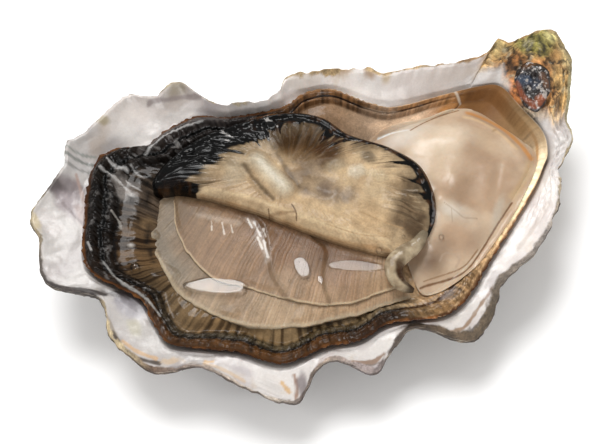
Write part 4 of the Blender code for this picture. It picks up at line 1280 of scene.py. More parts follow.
@dataclass
class GillLeaf:
    """A gill leaf: a ribbed sheet from its root line to its free edge."""

    name: str
    node: str
    edge: tuple[Point, ...]
    root: tuple[Point, ...]
    base: tuple[tuple[Place, Colour], ...]
    margin: Colour
    margin_width: float
    ledges: tuple[Ledge, ...] = ()
    marks: tuple = ()
    stations: int = 720
    rows: int = 96
    under_rows: int = 10
    thickness: float = 1.1
    crown: float = 0.5
    rib: float = 0.24
    rib_height: float = 0.018

    def tint(self, plan: Array) -> Array:
        """Base colour: the named places' colours, weighted by one over distance cubed."""
        total, weights = 0.0, 0.0
        for place, colour in self.base:
            away = np.linalg.norm(plan - np.array(place), axis=-1) + 0.5
            weights = weights + away**-3
            total = total + away[..., None] ** -3 * linear(colour)
        return total / weights[..., None]

    def build(self, relief: Relief) -> bpy.types.Object:
        """Make the leaf.

        A point lies between root and edge by its part; its height is the sheet's own, a sine
        crown, or what lies below plus the thickness.  Ribs are rounded ridges of noise along
        the edge, and the free edge is thin, rounded and slightly scalloped.
        """
        outer = along(spline(self.edge, False), self.stations)
        inner = along(spline(self.root, False), self.stations)
        run = lengths(outer)
        part = np.linspace(0, 1, self.rows)[:, None]
        scallop = 0.14 * ripple(run, 1.1, 101, 2) + 0.3 * ripple(run, 5, 102, 2)
        span = np.linalg.norm(outer - inner, axis=1)
        reach = part * (1 + scallop / span)
        sheet = inner + (outer - inner) * reach[..., None]
        ground = relief.soften(16).at(sheet)
        crown = self.crown * np.sin(math.pi * part) * np.ones_like(span)
        from_edge = (1 - part) * span
        body = self.thickness * np.sqrt(np.clip(from_edge / 1.6 + 0.06, 0, 1))
        height = np.maximum(sheet[..., 2] + crown - 0.5, ground + body)
        plan = sheet[..., :2]
        for ledge in self.ledges:
            curve = spline(ledge.path, False, 8)
            distance, place = near(curve, plan)
            heading = np.gradient(curve[:, :2], axis=0)
            at = np.clip(np.searchsorted(lengths(curve[:, :2]), place), 0, len(curve) - 1)
            offset = plan - curve[at, :2]
            side = np.sign(heading[at, 0] * offset[..., 1] - heading[at, 1] * offset[..., 0])
            away = side * distance
            fading = np.exp(-np.maximum(away, 0) / ledge.fade)
            height += ledge.height * smooth(-0.6, 0.5, away) * fading
        flow = np.broadcast_to(run, reach.shape) + 0.6 * weave(103, 2, run / 6, from_edge / 5)
        ribs = 1.4 * weave(104, 2, flow / self.rib, from_edge / 7)
        height += self.rib_height * ribs * smooth(0, 0.1, part)
        height += 0.05 * ripple(flow, 2.4, 105, 2) * smooth(0.02, 0.3, part)
        top = raised(plan, height)
        lower_part = np.linspace(1, 0, self.under_rows)
        pick = np.round(lower_part * (self.rows - 1)).astype(int)
        under = top[pick].copy()
        under[..., 2] = np.minimum(under[..., 2] - 0.25, ground[pick] + 0.15)
        rings = np.concatenate([top, under]).transpose(1, 0, 2)

        tint = self.tint(plan)
        tint = shade(tint, 0.17 * ribs + 0.1 * ripple(flow, 1.3, 106, 2))
        tint = shade(tint, 0.06 * noise(plan, 4, 108, 2))
        rim = fall(0.3, 1, from_edge / (self.margin_width * (1 + 0.25 * ripple(run, 2, 107, 2))))
        tint = dye(tint, self.margin, 0.75 * rim)
        # Painted shade: the tint darkens along each ledge.
        for ledge in self.ledges:
            distance, _ = near(spline(ledge.path, False, 8), plan)
            tint = shade(tint, -0.3 * np.exp(-(distance / 0.7)**2))
        tint = paint(tint, plan, self.marks)
        tint = np.concatenate([tint, tint[pick]]).transpose(1, 0, 2)
        relief.add(top)
        wet = 0.4 + 0.6 * Stain((-14.8, -1.4), (2.6, 6), 0x000000, 1, 0, 0.4, 0.9).cover(plan)
        wet = np.concatenate([wet, wet[pick]]).transpose(1, 0)
        piece = skin(self.name, rings, np.clip(tint, *MANTLE_TINTS), wet)
        settle(piece, Finishes.GILL.value, "gill", self.node)
        return piece


LOWER_LEAF = GillLeaf(
    "gill_leaf_below", "gill_leaf_lower", LOWER_LEAF_EDGE, LEAF_ROOT,
    base=(((-31, 8), 0x8c7c68), ((-33, -3), 0x92826d),
          ((-28, -11), 0xa89175), ((-18, -17), 0xb69c7e),
          ((-5, -20.5), 0xb49676), ((4, -21), 0xb89a7a),
          ((-27, 2), 0x846c52), ((-24, -9), 0x9a7e62)),
    margin=0xc4b296, margin_width=1, thickness=0.7,
    marks=(Stain((-32.6, 3), (1.6, 9), 0x7e7464, 0.6, 8, 0.2, 0.9),),
)
UPPER_LEAF = GillLeaf(
    "gill_leaf_above", "gill_leaf_upper", UPPER_LEAF_EDGE, LEAF_ROOT,
    base=(((-27, 9), 0x7c664e), ((-26, 4), 0x907458),
          ((-20, 0), 0x9c7c5e),
          ((-23, -6), 0x9c7e62), ((-12, -6), 0x8c6c52),
          ((-14, -13), 0xaa8e71), ((-4, -14), 0x9c7c60),
          ((-5, -9.6), 0x7a5c42), ((4, -18.5), 0xb49574),
          ((-8, -17.5), 0xb09273), ((-14, 0), 0x785a3f)),
    margin=0xd4be9e, margin_width=0.5, thickness=0.5, crown=0.7,
    ledges=(Ledge(((-14.6, 3.6), (-13.6, 0), (-14.4, -5), (-15.6, -10), (-14.6, -15.8)), 0.34, 3),
            Ledge(((-5.6, -5.6), (-4.4, -9), (-7, -14), (-7.6, -19)), -0.28, 3)),
    # Painted sheen beside the first ledge, then painted highlights: short near-white glints.
    marks=(Stroke(((-15.4, 3.2), (-15, -1), (-15.2, -7)), 1.4, 0xe8ded2, 0.3, 0.9, 0.9),
           Stroke(((-15.8, 2.6), (-15.6, 0.4)), 0.4, 0xf6f0e8, 0.85, 1.3, 0.8),
           Stroke(((-14.9, 1.6), (-14.8, -1.8)), 0.45, 0xf6f0e8, 0.9, 1.3, 0.8),
           Stroke(((-15.4, -1.8), (-15.4, -4.4)), 0.4, 0xf4ece2, 0.8, 1.3, 0.8),
           Stroke(((-14.6, -2.8), (-14.9, -6.4)), 0.5, 0xf6f0e8, 0.85, 1.3, 0.8),
           Stroke(((-13.8, -0.4), (-13.9, -2.4)), 0.35, 0xf0e6dc, 0.7, 1.3, 0.8),
           Stroke(((-22.4, 4.4), (-22.9, 2.6)), 0.35, 0xece2d4, 0.7, 1.3, 0.8),
           Stroke(((-20.6, 3.4), (-21, 1)), 0.4, 0xf0e6da, 0.75, 1.3, 0.8),
           Stroke(((-19.2, 2.4), (-19.4, 0.8)), 0.35, 0xece2d4, 0.7, 1.3, 0.8),
           # Painted sheen: a broad pale stroke.
           Stroke(((-24.6, 7), (-21.5, 4.8), (-18, 2.6)), 1.6, 0xd6c8b6, 0.35, 0.9, 0.9),
           # Painted shade: a dark band beside the first ledge, then painted shadows under the
           # upper mantle's lower edge.
           Stroke(((-13.2, 2), (-12.4, -1), (-12.8, -6)), 1.4, 0x7c5c42, 0.4, 0.5, 0.9),
           Stroke(((-11, -2), (-4, -9), (2.5, -14.6)), 2.2, 0x705036, 0.7, 0.3, 0.9),
           Stroke(((-26, 9.8), (-19, 6), (-13, 1)), 1.8, 0x76583e, 0.6, 0.3, 0.9)),
)


# ------------------------------------------------------------------ the soft pieces
@dataclass(frozen=True)
class Lump:
    """A raised or sunken stretch along a curve: height times one hump across the width."""

    path: tuple[Place, ...]
    width: float
    height: float

    def rise(self, plan: Array) -> Array:
        """Height that the lump adds at each place."""
        distance, _ = near(spline(self.path, False, 8), plan)
        return self.height * bump(distance / self.width)


@dataclass
class Cushion:
    """A soft lens: its margin follows an outline and its dome rises to a centre."""

    outline: tuple[Point, ...]
    centre: Place
    edge: float
    crown: float
    around: int
    rings: int
    lie: int = 6
    fullness: float = 0.5

    def surface(self, relief: Relief) -> tuple[Array, Array, Array]:
        """The smooth top, before detail.

        The dome is crown times (1 - part to the power 2.4) to the power fullness, on a level
        that runs from the outline's own height to its mean; nowhere does it sink below what it
        lies on.

        Returns:
            The points, the part (0 at the centre, 1 at the margin), and the ground below.
        """
        ring = along(spline(self.outline, True), self.around, closed=True)
        part = np.maximum(1 - np.linspace(1, 0, self.rings)[:, None] ** 1.25, 0.02)
        plan = np.array(self.centre) + (ring[:, :2] - self.centre) * part[..., None]
        ground = relief.soften(self.lie).at(plan)
        middle = ring[:, 2].mean()
        level = middle + (ring[:, 2] - middle) * part
        dome = self.crown * np.maximum(0.0, 1 - part**2.4) ** self.fullness
        height = np.maximum(level + dome, ground + self.edge)
        self.run = lengths(ring)
        return (raised(plan, height), part, ground)

    def close(self, top: Array, ground: Array, tint: Array) -> tuple:
        """Rings and tint of the whole skin: the top, then a few rings of its underside."""
        pick = np.round(np.linspace(1, 0, 6) * (self.rings - 1)).astype(int)
        under = top[pick].copy()
        under[..., 2] = np.minimum(top[pick, :, 2] - 0.3, np.maximum(ground[pick] + 0.1,
                                                                    top[pick, :, 2] - 3.0))
        return np.concatenate([top, under]), np.concatenate([tint, tint[pick]])


BODY_MARKS: tuple = (
    Stain((19, 8.4), (7, 3), 0xf0e4d6, 0.9, 5, 0.2, 0.9),
    Stain((26, 4.6), (8, 4.2), 0xf4e0c7, 0.85, 0, 0.2, 0.9),
    Stain((30, -3), (6, 6), 0xba9c80, 0.7, 0, 0.2, 0.9),
    Stain((24, -6.5), (5, 3.6), 0xaa8b6f, 0.75, 30, 0.2, 0.9),
    Stain((33.8, 2.4), (3.4, 4), 0xd8bc9c, 0.7, 0, 0.2, 0.9),
    Stain((18, -2.6), (2, 6), 0xccb498, 0.6, 0, 0.2, 0.9),
    Stain((21, -10.8), (4, 2.4), 0xd8c8b4, 0.9, -42, 0.15, 0.7),
    Stain((20, -10.2), (2, 1.2), 0xe8dccc, 0.7, -42, 0.15, 0.8),
    Stain((15.6, -16.6), (3.6, 3), 0x967a62, 0.75, 0, 0.2, 0.9),
    Stain((12.8, -18.6), (2.8, 2.6), 0x745a46, 0.85, 0, 0.2, 0.9),
    Stain((22.5, -16.8), (4.4, 2), 0xb89c82, 0.7, 35, 0.2, 0.9),
    Stain((29, -12.8), (1.1, 4.4), 0xd8c8b4, 0.8, -40, 0.15, 0.7),
    Stain((13, -20.6), (4, 2.2), 0xb0967a, 0.6, 0, 0.2, 0.9),
    Stroke(((32.8, 10), (35.8, 7.6), (38.6, 4), (39.8, 0), (40.2, -3.6)), 1.4, 0xde9e5e, 0.9, 0.2,
           0.9),
    Stroke(((31.6, 9), (34.8, 6.4), (37, 3), (38.2, -1)), 1, 0xf0d0a4, 0.6, 0.2, 0.9),
    Stroke(((33, -10.6), (36.6, -8), (39.4, -4.6)), 1.6, 0xdcbe94, 0.7, 0.2, 0.9),
    Stroke(((19.6, -8.6), (21, -11), (22, -12.6), (24.4, -13.4)), 0.2, 0x9c8670, 0.6, 0.2),
    Stroke(((20.4, -10.2), (19.6, -12.6)), 0.18, 0xa48e78, 0.5, 0.2),
    Stroke(((14.6, -18.6), (15.8, -17.6), (17.4, -18), (18.2, -19.4), (17, -20.6)), 0.5, 0xbea892,
           0.5, 0.2),
    Stroke(((14, 10.4), (17, 10.4), (20, 9.8)), 0.5, 0xfaf6ee, 0.9, 0.2),
    Stroke(((20.4, 9.4), (25, 10.8), (31.4, 11.2)), 0.36, 0x966c46, 0.85, 0.3),
    Stroke(((20.6, 10.2), (25, 11.5), (31.6, 12)), 0.6, 0xe2d0b8, 0.6, 0.2),
    Stain((36, 4.4), (0.7, 0.4), 0x967846, 0.5, 20),
    Stroke(((9.4, -21.8), (14, -22.2), (18.6, -21.8), (23, -19), (27, -15.8), (32.4, -11.8)), 0.5,
           0x744c2a, 0.85, 0.3),
    Stroke(((10.4, -21), (14.4, -21.2), (18.6, -20.8), (22.4, -18.6)), 0.3, 0x8c623a, 0.7, 0.4),
)


@dataclass
class SoftBody:
    """The pale body beside the hinge: a low smooth cushion with a pearly lump on it."""

    form: Cushion = field(default_factory=lambda: Cushion(
        BODY_OUTLINE, (23.3, -3.3), 0.35, 3.6, around=560, rings=110, fullness=0.9))
    lumps: tuple[Lump, ...] = (
        Lump(((19.6, -7.6), (21.4, -11), (23.6, -12.4)), 2.8, 0.7),
        Lump(((33, 8.4), (36, 5), (38, 0.6), (38.6, -3.4)), 1.5, 0.4),
        Lump(((27, -5), (25, -9)), 4.4, -0.5),
        Lump(((29, -10), (33, -4)), 1.6, -0.3),
        Lump(((16, -14.6), (17.6, -17.6)), 2.6, -0.4),
        Lump(((28, 4), (22, 7)), 5, 0.7),
        Lump(((24, 1), (22, -3.6)), 3.2, -0.2),
    )

    def build(self, relief: Relief) -> bpy.types.Object:
        """Make the body: the cushion, its lumps, and slow noise."""
        top, part, ground = self.form.surface(relief)
        plan = top[..., :2]
        top[..., 2] += sum(lump.rise(plan) for lump in self.lumps) * (1 - part**8)
        top[..., 2] += 0.1 * noise(plan, 3.4, 121, 2) * (1 - part**8)
        top[..., 2] = np.maximum(top[..., 2], ground + 0.35)
        base = dye(linear(0xe0c7ab), 0xc8aa8d, smooth(-0.4, 0.5, noise(plan, 5, 122, 3)))
        tint = paint(base, plan, BODY_MARKS)
        grain = noise(stack(plan[..., 0] * 0.6 + plan[..., 1] * 0.8,
                            plan[..., 1] * 2.6 - plan[..., 0] * 1.2), 2.2, 123, 3)
        tint = shade(tint, 0.04 * grain)
        relief.add(top)
        rings, tint = self.form.close(top, ground, tint)
        piece = skin("soft_body", rings, np.clip(tint, *FLESH_TINTS), np.ones(rings.shape[:2]))
        settle(piece, Finishes.BODY.value, "body", "body")
        return piece


FLAP_MARKS: tuple = (
    Stain((-20, 9.8), (5, 2.4), 0xb0987a, 0.8, -38),
    Stain((-13, 5.4), (6, 3), 0xb49a7a, 0.85, -42, 0.3, 0.9),
    Stain((-4, -2.6), (6, 3.4), 0xcaae88, 0.85, -44, 0.3, 0.9),
    Stain((5, -7.6), (6, 4), 0xccae86, 0.85, -30, 0.3, 0.9),
    Stain((-15, 10.8), (3.6, 2.6), 0xc0b096, 0.7, 60),
    Stain((-1, 11.6), (8, 6.4), 0x583e22, 0.97, 0, 0.5, 0.9),
    Stain((2.6, 8), (4.2, 4), 0x482e18, 0.9, 0, 0.5, 0.9),
    Stain((-4.6, 15), (5.6, 3.8), 0x3c2916, 0.9, 0, 0.5, 0.9),
    Stain((4.6, 13), (3.6, 4.4), 0x362412, 0.9, 0, 0.5, 0.9),
    Stain((9.6, 7.4), (3, 3), 0x46392a, 0.6, 0, 0.5, 0.9),
    Stain((-3.8, 5.4), (4.4, 3.2), 0x705a44, 0.8, -20, 0.4, 0.9),
    Stain((-0.4, 0.6), (6, 3), 0x7a695b, 0.9, -40, 0.4, 0.9),
    Stain((3, 5), (2.4, 1.8), 0xaa9a80, 0.6, 0),
    Stain((6.2, 2.4), (2, 1.5), 0xd8cab2, 0.85, 0),
    Stain((9.6, 0.4), (2.4, 1.4), 0xd2be9c, 0.8, -40),
    Stain((8.4, -2), (3.4, 2.4), 0xceb692, 0.7, -40),
    Stain((9.4, 4.4), (1.8, 1.2), 0x6e6252, 0.7, -30),
    Stain((12.8, -5.8), (3.2, 6), 0x604d39, 0.85, -14, 0.6, 0.9),
    Stain((15.6, -5), (1.8, 5), 0x3a2c1e, 0.8, -10, 0.5, 0.9),
    Stain((12.4, -11), (4.4, 4.4), 0x564432, 0.92, -10, 0.6, 0.8),
    Stroke(((-22.6, 9.2), (-16, 4), (-9, -2.4), (-1, -9.4), (6, -14)), 0.9, 0xac845a, 0.6, 0.3,
           0.9),
    Stroke(((-22, 9.8), (-15, 5.2), (-8, -1), (0, -8), (6.6, -12.4)), 1.1, 0xe0c8a2, 0.6, 0.3,
           0.9),
    Stroke(((-11.9, 1.6), (-12.1, 0.6), (-12.2, -0.4)), 0.28, 0x543824, 0.8),
    Stroke(((-7.6, 0.6), (-7.4, -1), (-7.8, -2.4)), 0.28, 0x543824, 0.8),
    Stroke(((-11.8, 0.6), (-9.6, -0.2), (-7.6, -1)), 0.7, 0x8c6e50, 0.6, 0.3, 0.9),
    # Painted shadow: a dark line along the left side of the white lump.
    Stroke(((-13.2, 11.4), (-12.2, 7.6), (-10.4, 3)), 1, 0x5c4a36, 0.75, 0.4, 0.9),
    Stroke(((-6.6, 11), (-5.8, 6.4), (-5, 3.2)), 1, 0x685846, 0.6, 0.4, 0.9),
    Stroke(((4, -5.6), (7.6, -9), (10, -11)), 0.4, 0xb89870, 0.6, 0.4, 0.9),
    Stroke(((-3, -5.4), (2, -9.6), (6.4, -11.6)), 0.3, 0xb4926a, 0.6, 0.4, 0.9),
    Stroke(((-10.6, 11.2), (-9.6, 8.4), (-8.4, 5.6), (-7.8, 3.8)), 3.4, 0xdaceb6, 0.9, 0.15, 0.9),
    Stroke(((-10.2, 10.2), (-9.2, 7.4), (-8.2, 4.8)), 1.6, 0xeae2d0, 0.6, 0.2, 0.9),
)


@dataclass
class UpperMantle:
    """The upper mantle folded back over the gills: cream centre and a black ruffled rim."""

    form: Cushion = field(default_factory=lambda: Cushion(
        FLAP_OUTLINE, (-6.0, 7.0), 0.9, 1.9, around=800, rings=112))
    lumps: tuple[Lump, ...] = (
        Lump(((-10.8, 11.2), (-9.6, 8.2), (-8.4, 5.4), (-7.8, 3.4)), 2.6, 1.1),
        Lump(((-13.6, 11), (-12.4, 7.4), (-10.8, 2.8)), 1.2, -0.45),
        Lump(((-26, 11.8), (-15, 4.8), (-5, -4), (5, -12)), 2.6, 0.45),
        Lump(((6.2, 2.4), (6.7, 2.2)), 1.8, 0.5),
        Lump(((9.6, 0.4), (10.6, -0.2)), 1.6, 0.45),
        Lump(((3, 4.6), (3.4, 4.2)), 1.6, 0.35),
        Lump(((12.4, -1.6), (13, -2.2)), 1.5, 0.4),
        Lump(((-2, 8.6), (0, 12)), 4.2, -0.35),
        Lump(((-16.6, 13), (-15, 9.6)), 1.4, 0.4),
        Lump(((-0.6, 1), (-2, 2.4)), 2.2, -0.3),
    )

    def rim_width(self) -> tuple[Array, Array, Array]:
        """Width of the black rim, how far its streaks reach in, and its ruffling, per ray.

        All three are set at the outline's own landmarks and run evenly between them.
        """
        spots = np.array([0.0, 6.0, 13.5, 20.0, 27.0, 36.0, 45.0, 53.0, 57.0, 61.5, 64.5, 85.0,
                          96.0, 104.0, 109.5, 115.5, 121.0])
        black = np.array([2.4, 2.3, 2.3, 2.6, 3.4, 6.2, 8.8, 9.8, 8.4, 3.6, 0.0, 0.0, 0.0, 0.0,
                          0.8, 2.0, 2.4])
        streaks = np.array([4.4, 5.4, 7.4, 8.0, 7.6, 6.0, 5.6, 5.0, 4.0, 2.4, 0.0, 0.0, 0.0, 0.0,
                            2.0, 4.6, 4.4])
        frills = np.array([0.15, 0.15, 0.15, 0.15, 0.25, 0.45, 0.55, 0.5, 0.4, 0.15, 0.0, 0.0, 0.0,
                           0.0, 0.05, 0.1, 0.15])
        total = lengths(along(spline(FLAP_OUTLINE, True), self.form.around))[-1]
        spots = spots / spots[-1] * total
        run = self.form.run
        return tuple(np.interp(run, spots, values) for values in (black, streaks, frills))

    def build(self, relief: Relief) -> bpy.types.Object:
        """Make the upper mantle.

        Ridges run in from the rim: noise that changes fast round the rim and slowly inwards.
        The same noise, compared with the distance from the rim, draws the dark streaks.
        """
        top, part, ground = self.form.surface(relief)
        plan = top[..., :2]
        curve = spline(FLAP_OUTLINE, True)
        from_rim = near(curve, plan)[0]
        black, streaks, frills = self.rim_width()
        inward = (1 - part) * np.linalg.norm(plan[-1] - self.form.centre, axis=-1)
        run = np.broadcast_to(self.form.run, from_rim.shape)
        bend = run + 1.2 * weave(131, 2, run / 7, from_rim / 4)
        outer = smooth(0.25, 0.7, part)
        rays = weave(132, 3, bend / 1.15, from_rim / 4) * outer
        folds = weave(133, 3, bend / 3, from_rim / 1.6 + run / 4)
        combs = ridged(weave(134, 2, bend / 2, from_rim / 2.4))
        ruffled = frills * fall(0.6, 1.3, inward / np.maximum(black, 0.5))
        crease = ridged(weave(144, 2, bend / 1.6, from_rim / 2.4))
        top[..., 2] += sum(lump.rise(plan) for lump in self.lumps) * smooth(0, 1.2, from_rim)
        ruffled = ruffled * smooth(0, 0.8, from_rim)
        top[..., 2] += ruffled * (0.9 * folds + 0.55 * combs + 0.3 * crease)
        roll = bump((from_rim - 0.9) / 0.9) * smooth(0.08, 0.15, frills)
        top[..., 2] += 0.35 * roll + 0.1 * rays * smooth(0, 1, from_rim) * np.exp(-from_rim / 6)
        knuckles = ridged(weave(148, 2, bend / 3, from_rim / 7))
        pleated = smooth(0.5, 2.5, streaks) * smooth(1.5, 3, inward) * fall(7, 11, inward)
        top[..., 2] += 0.45 * knuckles * pleated * fall(0.3, 0.5, frills)
        top[..., 2] += 0.1 * noise(plan, 2.2, 140, 2) * smooth(0, 2, from_rim)
        top[..., 2] = np.maximum(top[..., 2], ground + 0.5)

        # Painted shade: the tint darkens in the creases between the knuckles.
        painted_crease_shade = smooth(0, 0.7, -knuckles) * pleated
        base = dye(linear(0xd4b993), 0xbea27e, smooth(-0.3, 0.5, noise(plan, 3, 135, 3)))
        tint = paint(base, plan, FLAP_MARKS)
        x, y = plan[..., 0], plan[..., 1]
        cloudy = noise(stack(x + y, 0.7 * (y - x)), 1.6, 138, 3)
        tint = shade(tint, 0.3 * rays * np.exp(-from_rim / 8) + 0.1 * cloudy)
        veins = smooth(0.12, 0.4, weave(139, 3, bend / 0.9, from_rim / 3)) * outer
        murk = Stain((-1, 10.6), (7, 6.4), 0x000000, 1, 0, 0.4, 0.9).cover(plan)
        tint = dye(tint, 0x30261b, 0.85 * veins * murk)
        tint = dye(tint, 0x463626, 0.6 * painted_crease_shade)
        hairs = smooth(0.16, 0.34, weave(145, 2, bend / 0.5, from_rim / 4.6)) * outer
        patchy = smooth(-0.4, 0.4, noise(plan, 3.6, 147, 2))
        reach = smooth(0.2, 0.6, black) * fall(6, 11, inward) * patchy
        tint = dye(tint, 0x3a2c1e, 0.55 * hairs * reach)
        threads = smooth(0.2, 0.4, weave(146, 2, bend / 0.42, from_rim / 3.4)) * outer
        threads = threads * smooth(0.2, 0.6, streaks) * fall(8, 13, inward)
        tint = dye(tint, 0xd6c09e, 0.4 * (1 - patchy) * threads)
        edge = black * (1 + 0.35 * folds) + streaks * np.clip(rays * 1.6 - 0.05, 0, 1) ** 1.3
        dark = fall(0.82, 1.06, inward / np.maximum(edge, 0.05)) * smooth(0.2, 0.6, edge)
        mellow = smooth(0, 0.8, noise(plan, 1.1, 136, 3)) * fall(0.2, 0.5, frills)
        umber = dye(linear(0x090705), 0x4c321e, mellow)
        tint = mix(tint, umber, dark[..., None])
        smoky = fall(0.9, 2, inward / np.maximum(edge, 0.05)) * smooth(0.2, 0.6, edge)
        tint = dye(tint, 0x605240, 0.5 * smoky * (1 - dark))
        # Painted highlights: silver glints on the black ruffles stand for reflected light.
        painted_silver_glints = weave(137, 3, bend / 1.2, from_rim / 1.3 + run / 2.6)
        shine = smooth(0.56, 0.66, painted_silver_glints) * dark * smooth(0.1, 0.3, frills)
        tint = dye(tint, 0xcecac6, 0.75 * shine)
        brown = bump((from_rim - 0.1) / 0.5) * smooth(0.05, 0.14, frills) * fall(0.3, 0.5, frills)
        brown = brown * smooth(-12, -4, x)
        tint = dye(tint, 0x785230, 0.7 * brown)
        relief.add(top)
        rings, tint = self.form.close(top, ground, tint)
        gloss = np.clip(mix(0.55 - 0.45 * murk, 0.7 + 0.5 * frills, dark), 0, 1)
        gloss = np.concatenate([gloss, np.ones((len(rings) - len(dark), dark.shape[1]))])
        piece = skin("upper_mantle", rings, np.clip(tint, *FLESH_TINTS), gloss)
        settle(piece, Finishes.FLAP.value, "flap", "mantle_upper")
        return piece


@dataclass
class TailRoll:
    """The rolled tail at the near end of the upper mantle, with painted shade inside its curl."""

    stations: int = 260
    around: int = 72
    width: float = 3.5
    thickness: float = 2.3

    def build(self, relief: Relief) -> bpy.types.Object:
        """Make the roll: an ellipse carried along its middle line, thin at both ends."""
        path = along(spline(CURL_LINE, False), self.stations)
        heading = np.gradient(path, axis=0)[:, :2]
        heading /= np.linalg.norm(heading, axis=1)[:, None]
        side = np.column_stack([-heading[:, 1], heading[:, 0]])
        t = np.linspace(0, 1, self.stations)
        swell = np.sqrt(np.sin(math.pi * np.clip(0.04 + 0.94 * t, 0, 1)))
        ground = relief.soften(4).at(path)
        middle = np.maximum(path[:, 2], ground + 0.35 * self.thickness * swell)
        turn = np.linspace(0, 2 * math.pi, self.around, endpoint=False)
        across = 0.5 * self.width * swell[:, None] * np.cos(turn)
        up = 0.5 * self.thickness * swell[:, None] * np.sin(turn)
        wrinkle = 0.1 * weave(141, 2, t[:, None] * 9, turn)
        plan = path[:, None, :2] + side[:, None, :] * (across * (1 + wrinkle))[..., None]
        height = middle[:, None] + up * (1 + wrinkle)
        rings = raised(plan, height)
        pale, grey = linear(0xc4b294), linear(0x8e7b62)
        tint = mix(pale, grey, smooth(-0.4, 0.5, noise(rings, 1.6, 142, 3))[..., None])
        tint = mix(tint, linear(0x685c4a), 0.8 * fall(0.05, 0.3, t)[:, None, None])
        # Painted shade: the side of the roll inside its curl is darkened.
        painted_hollow_shade = smooth(-0.1, 0.35, np.cos(turn))[None, :] * smooth(0.42, 0.58, t)[:, None]
        streaks = weave(143, 2, t[:, None] * 22, turn)
        tint = dye(tint, 0x4a3422, painted_hollow_shade * (0.85 + 0.3 * streaks))
        tint = mix(tint, linear(0x34261a), 0.9 * smooth(0.86, 0.97, t)[:, None, None])
        piece = skin("tail_roll", rings, tint, np.ones(rings.shape[:2]))
        settle(piece, Finishes.FLAP.value, "flap")
        return piece


# ------------------------------------------------------------------ the ligament
@dataclass
class Ligament:
    """The crumpled horny pad by the beak."""

    around: int = 220
    rings: int = 70
    sink: float = 1.3
    lift: float = 1.1
    spread: float = 1.14

    def build(self) -> bpy.types.Object:
        """Make the pad: rings shrunk from its outline, crumpled by ridged noise on top."""
        ring = along(spline(LIGAMENT_OUTLINE, True), self.around, closed=True)
        centre = ring[:, :2].mean(0)
        part = np.linspace(0.03, 1, self.rings)[:, None]
        ragged = self.spread + 0.14 * noise(ring[:, :2], 1.6, 153, 2)
        plan = centre + (ring[:, :2] - centre) * (part * ragged)[..., None]
        level = ring[:, 2].mean() + (ring[:, 2] - ring[:, 2].mean()) * part
        crumple = ridged(noise(plan, 2.2, 151, 3))
        top = level + self.lift * (1 - part**4) * (0.25 + 0.75 * crumple)
        base = level[::12] - self.sink
        upper = raised(plan, top)
        lower = raised(plan[::12], base)[::-1]
        rings = np.concatenate([upper, lower])
        flat = rings[..., :2]
        tint = np.broadcast_to(linear(0x221a18), rings.shape).copy()
        tint = paint(tint, flat, (Stain((44.6, 10.2), (1.4, 1.6), 0x32445c, 0.85, 20),
                                  Stain((46.4, 8.6), (1.5, 1), 0x283448, 0.7, 40),
                                  Stroke(((43.2, 10.6), (43.2, 7.6), (44.4, 4.6), (46.4, 5.4)),
                                         1.3, 0x964e2a, 0.9, 0.5),
                                  Stain((45.6, 5.6), (1.2, 0.9), 0xa6603c, 0.7, 30),
                                  Stain((48, 8.4), (0.9, 2), 0x765036, 0.8, 0),
                                  Stain((46.6, 12.6), (1.8, 0.8), 0x6a462c, 0.8, 0)))
        # Painted highlights: pale spots stand for glints on the glossy pad.
        painted_highlight_spots = smooth(0.22, 0.46, noise(flat, 0.7, 152, 3))
        tint = dye(tint, 0xcec4bc, 0.7 * painted_highlight_spots)
        piece = skin("ligament_pad", rings, tint, np.ones(rings.shape[:2]))
        settle(piece, Finishes.LIGAMENT.value, "ligament", "hinge_ligament")
        return piece


# ------------------------------------------------------------------ the liquor
@dataclass(frozen=True)
class Liquor:
    """Clear liquor: it only adds a mirror's gloss, by Fresnel, over what it lies on."""

    name: str = "clear_liquor"
    ior: float = 1.36
    roughness: float = 0.03

    def material(self) -> bpy.types.Material:
        """Transparent below, a sharp gloss above, mixed by Fresnel."""
        if self.name in bpy.data.materials:
            return bpy.data.materials[self.name]
        made = bpy.data.materials.new(self.name)
        made.use_nodes = True
        nodes = made.node_tree.nodes
        nodes.clear()
        out, clear, gloss, fresnel, both = (nodes.new("ShaderNode" + kind) for kind in (
            "OutputMaterial", "BsdfTransparent", "BsdfGlossy", "Fresnel", "MixShader"))
        feed(gloss, {"Roughness": self.roughness})
        feed(fresnel, {"IOR": self.ior})
        feed(both, {"Fac": fresnel.outputs[0], 1: clear.outputs[0], 2: gloss.outputs[0]})
        feed(out, {"Surface": both.outputs[0]})
        return made


@dataclass(frozen=True)
class Puddle:
    """Liquor standing level on the meat, its shore a wavy ellipse on a turned long side."""

    at: Place
    size: Place
    turn: float = -21.0
    seed: int = 0
    depth: float = 0.05

    def rings(self, relief: Relief, around: int = 96, count: int = 14) -> Array:
        """The level top from the middle to the shore, then the underside back to the middle.

        The shore's radius is the ellipse's times 1 plus noise; the top lies just over the
        highest thing below it, and its last rings curve down to the shore.
        """
        turn = np.linspace(0, 2 * math.pi, around, endpoint=False)
        wavy = 1 + 0.16 * noise(stack(np.cos(turn), np.sin(turn)), 0.9, 160 + self.seed, 2)
        part = np.linspace(0.02, 1, count)[:, None]
        u = part * wavy * self.size[0] * np.cos(turn)
        v = part * wavy * self.size[1] * np.sin(turn)
        angle = math.radians(self.turn)
        plan = stack(self.at[0] + u * math.cos(angle) - v * math.sin(angle),
                     self.at[1] + u * math.sin(angle) + v * math.cos(angle))
        ground = relief.at(plan)
        level = np.quantile(ground, 0.9) + self.depth
        top = level - 0.12 * smooth(0.9, 1, part) * np.ones(around)
        bottom = np.minimum(ground - 0.05, top - 0.04)
        upper = raised(plan, top)
        lower = raised(plan, bottom)[::-1]
        return np.concatenate([upper, lower])


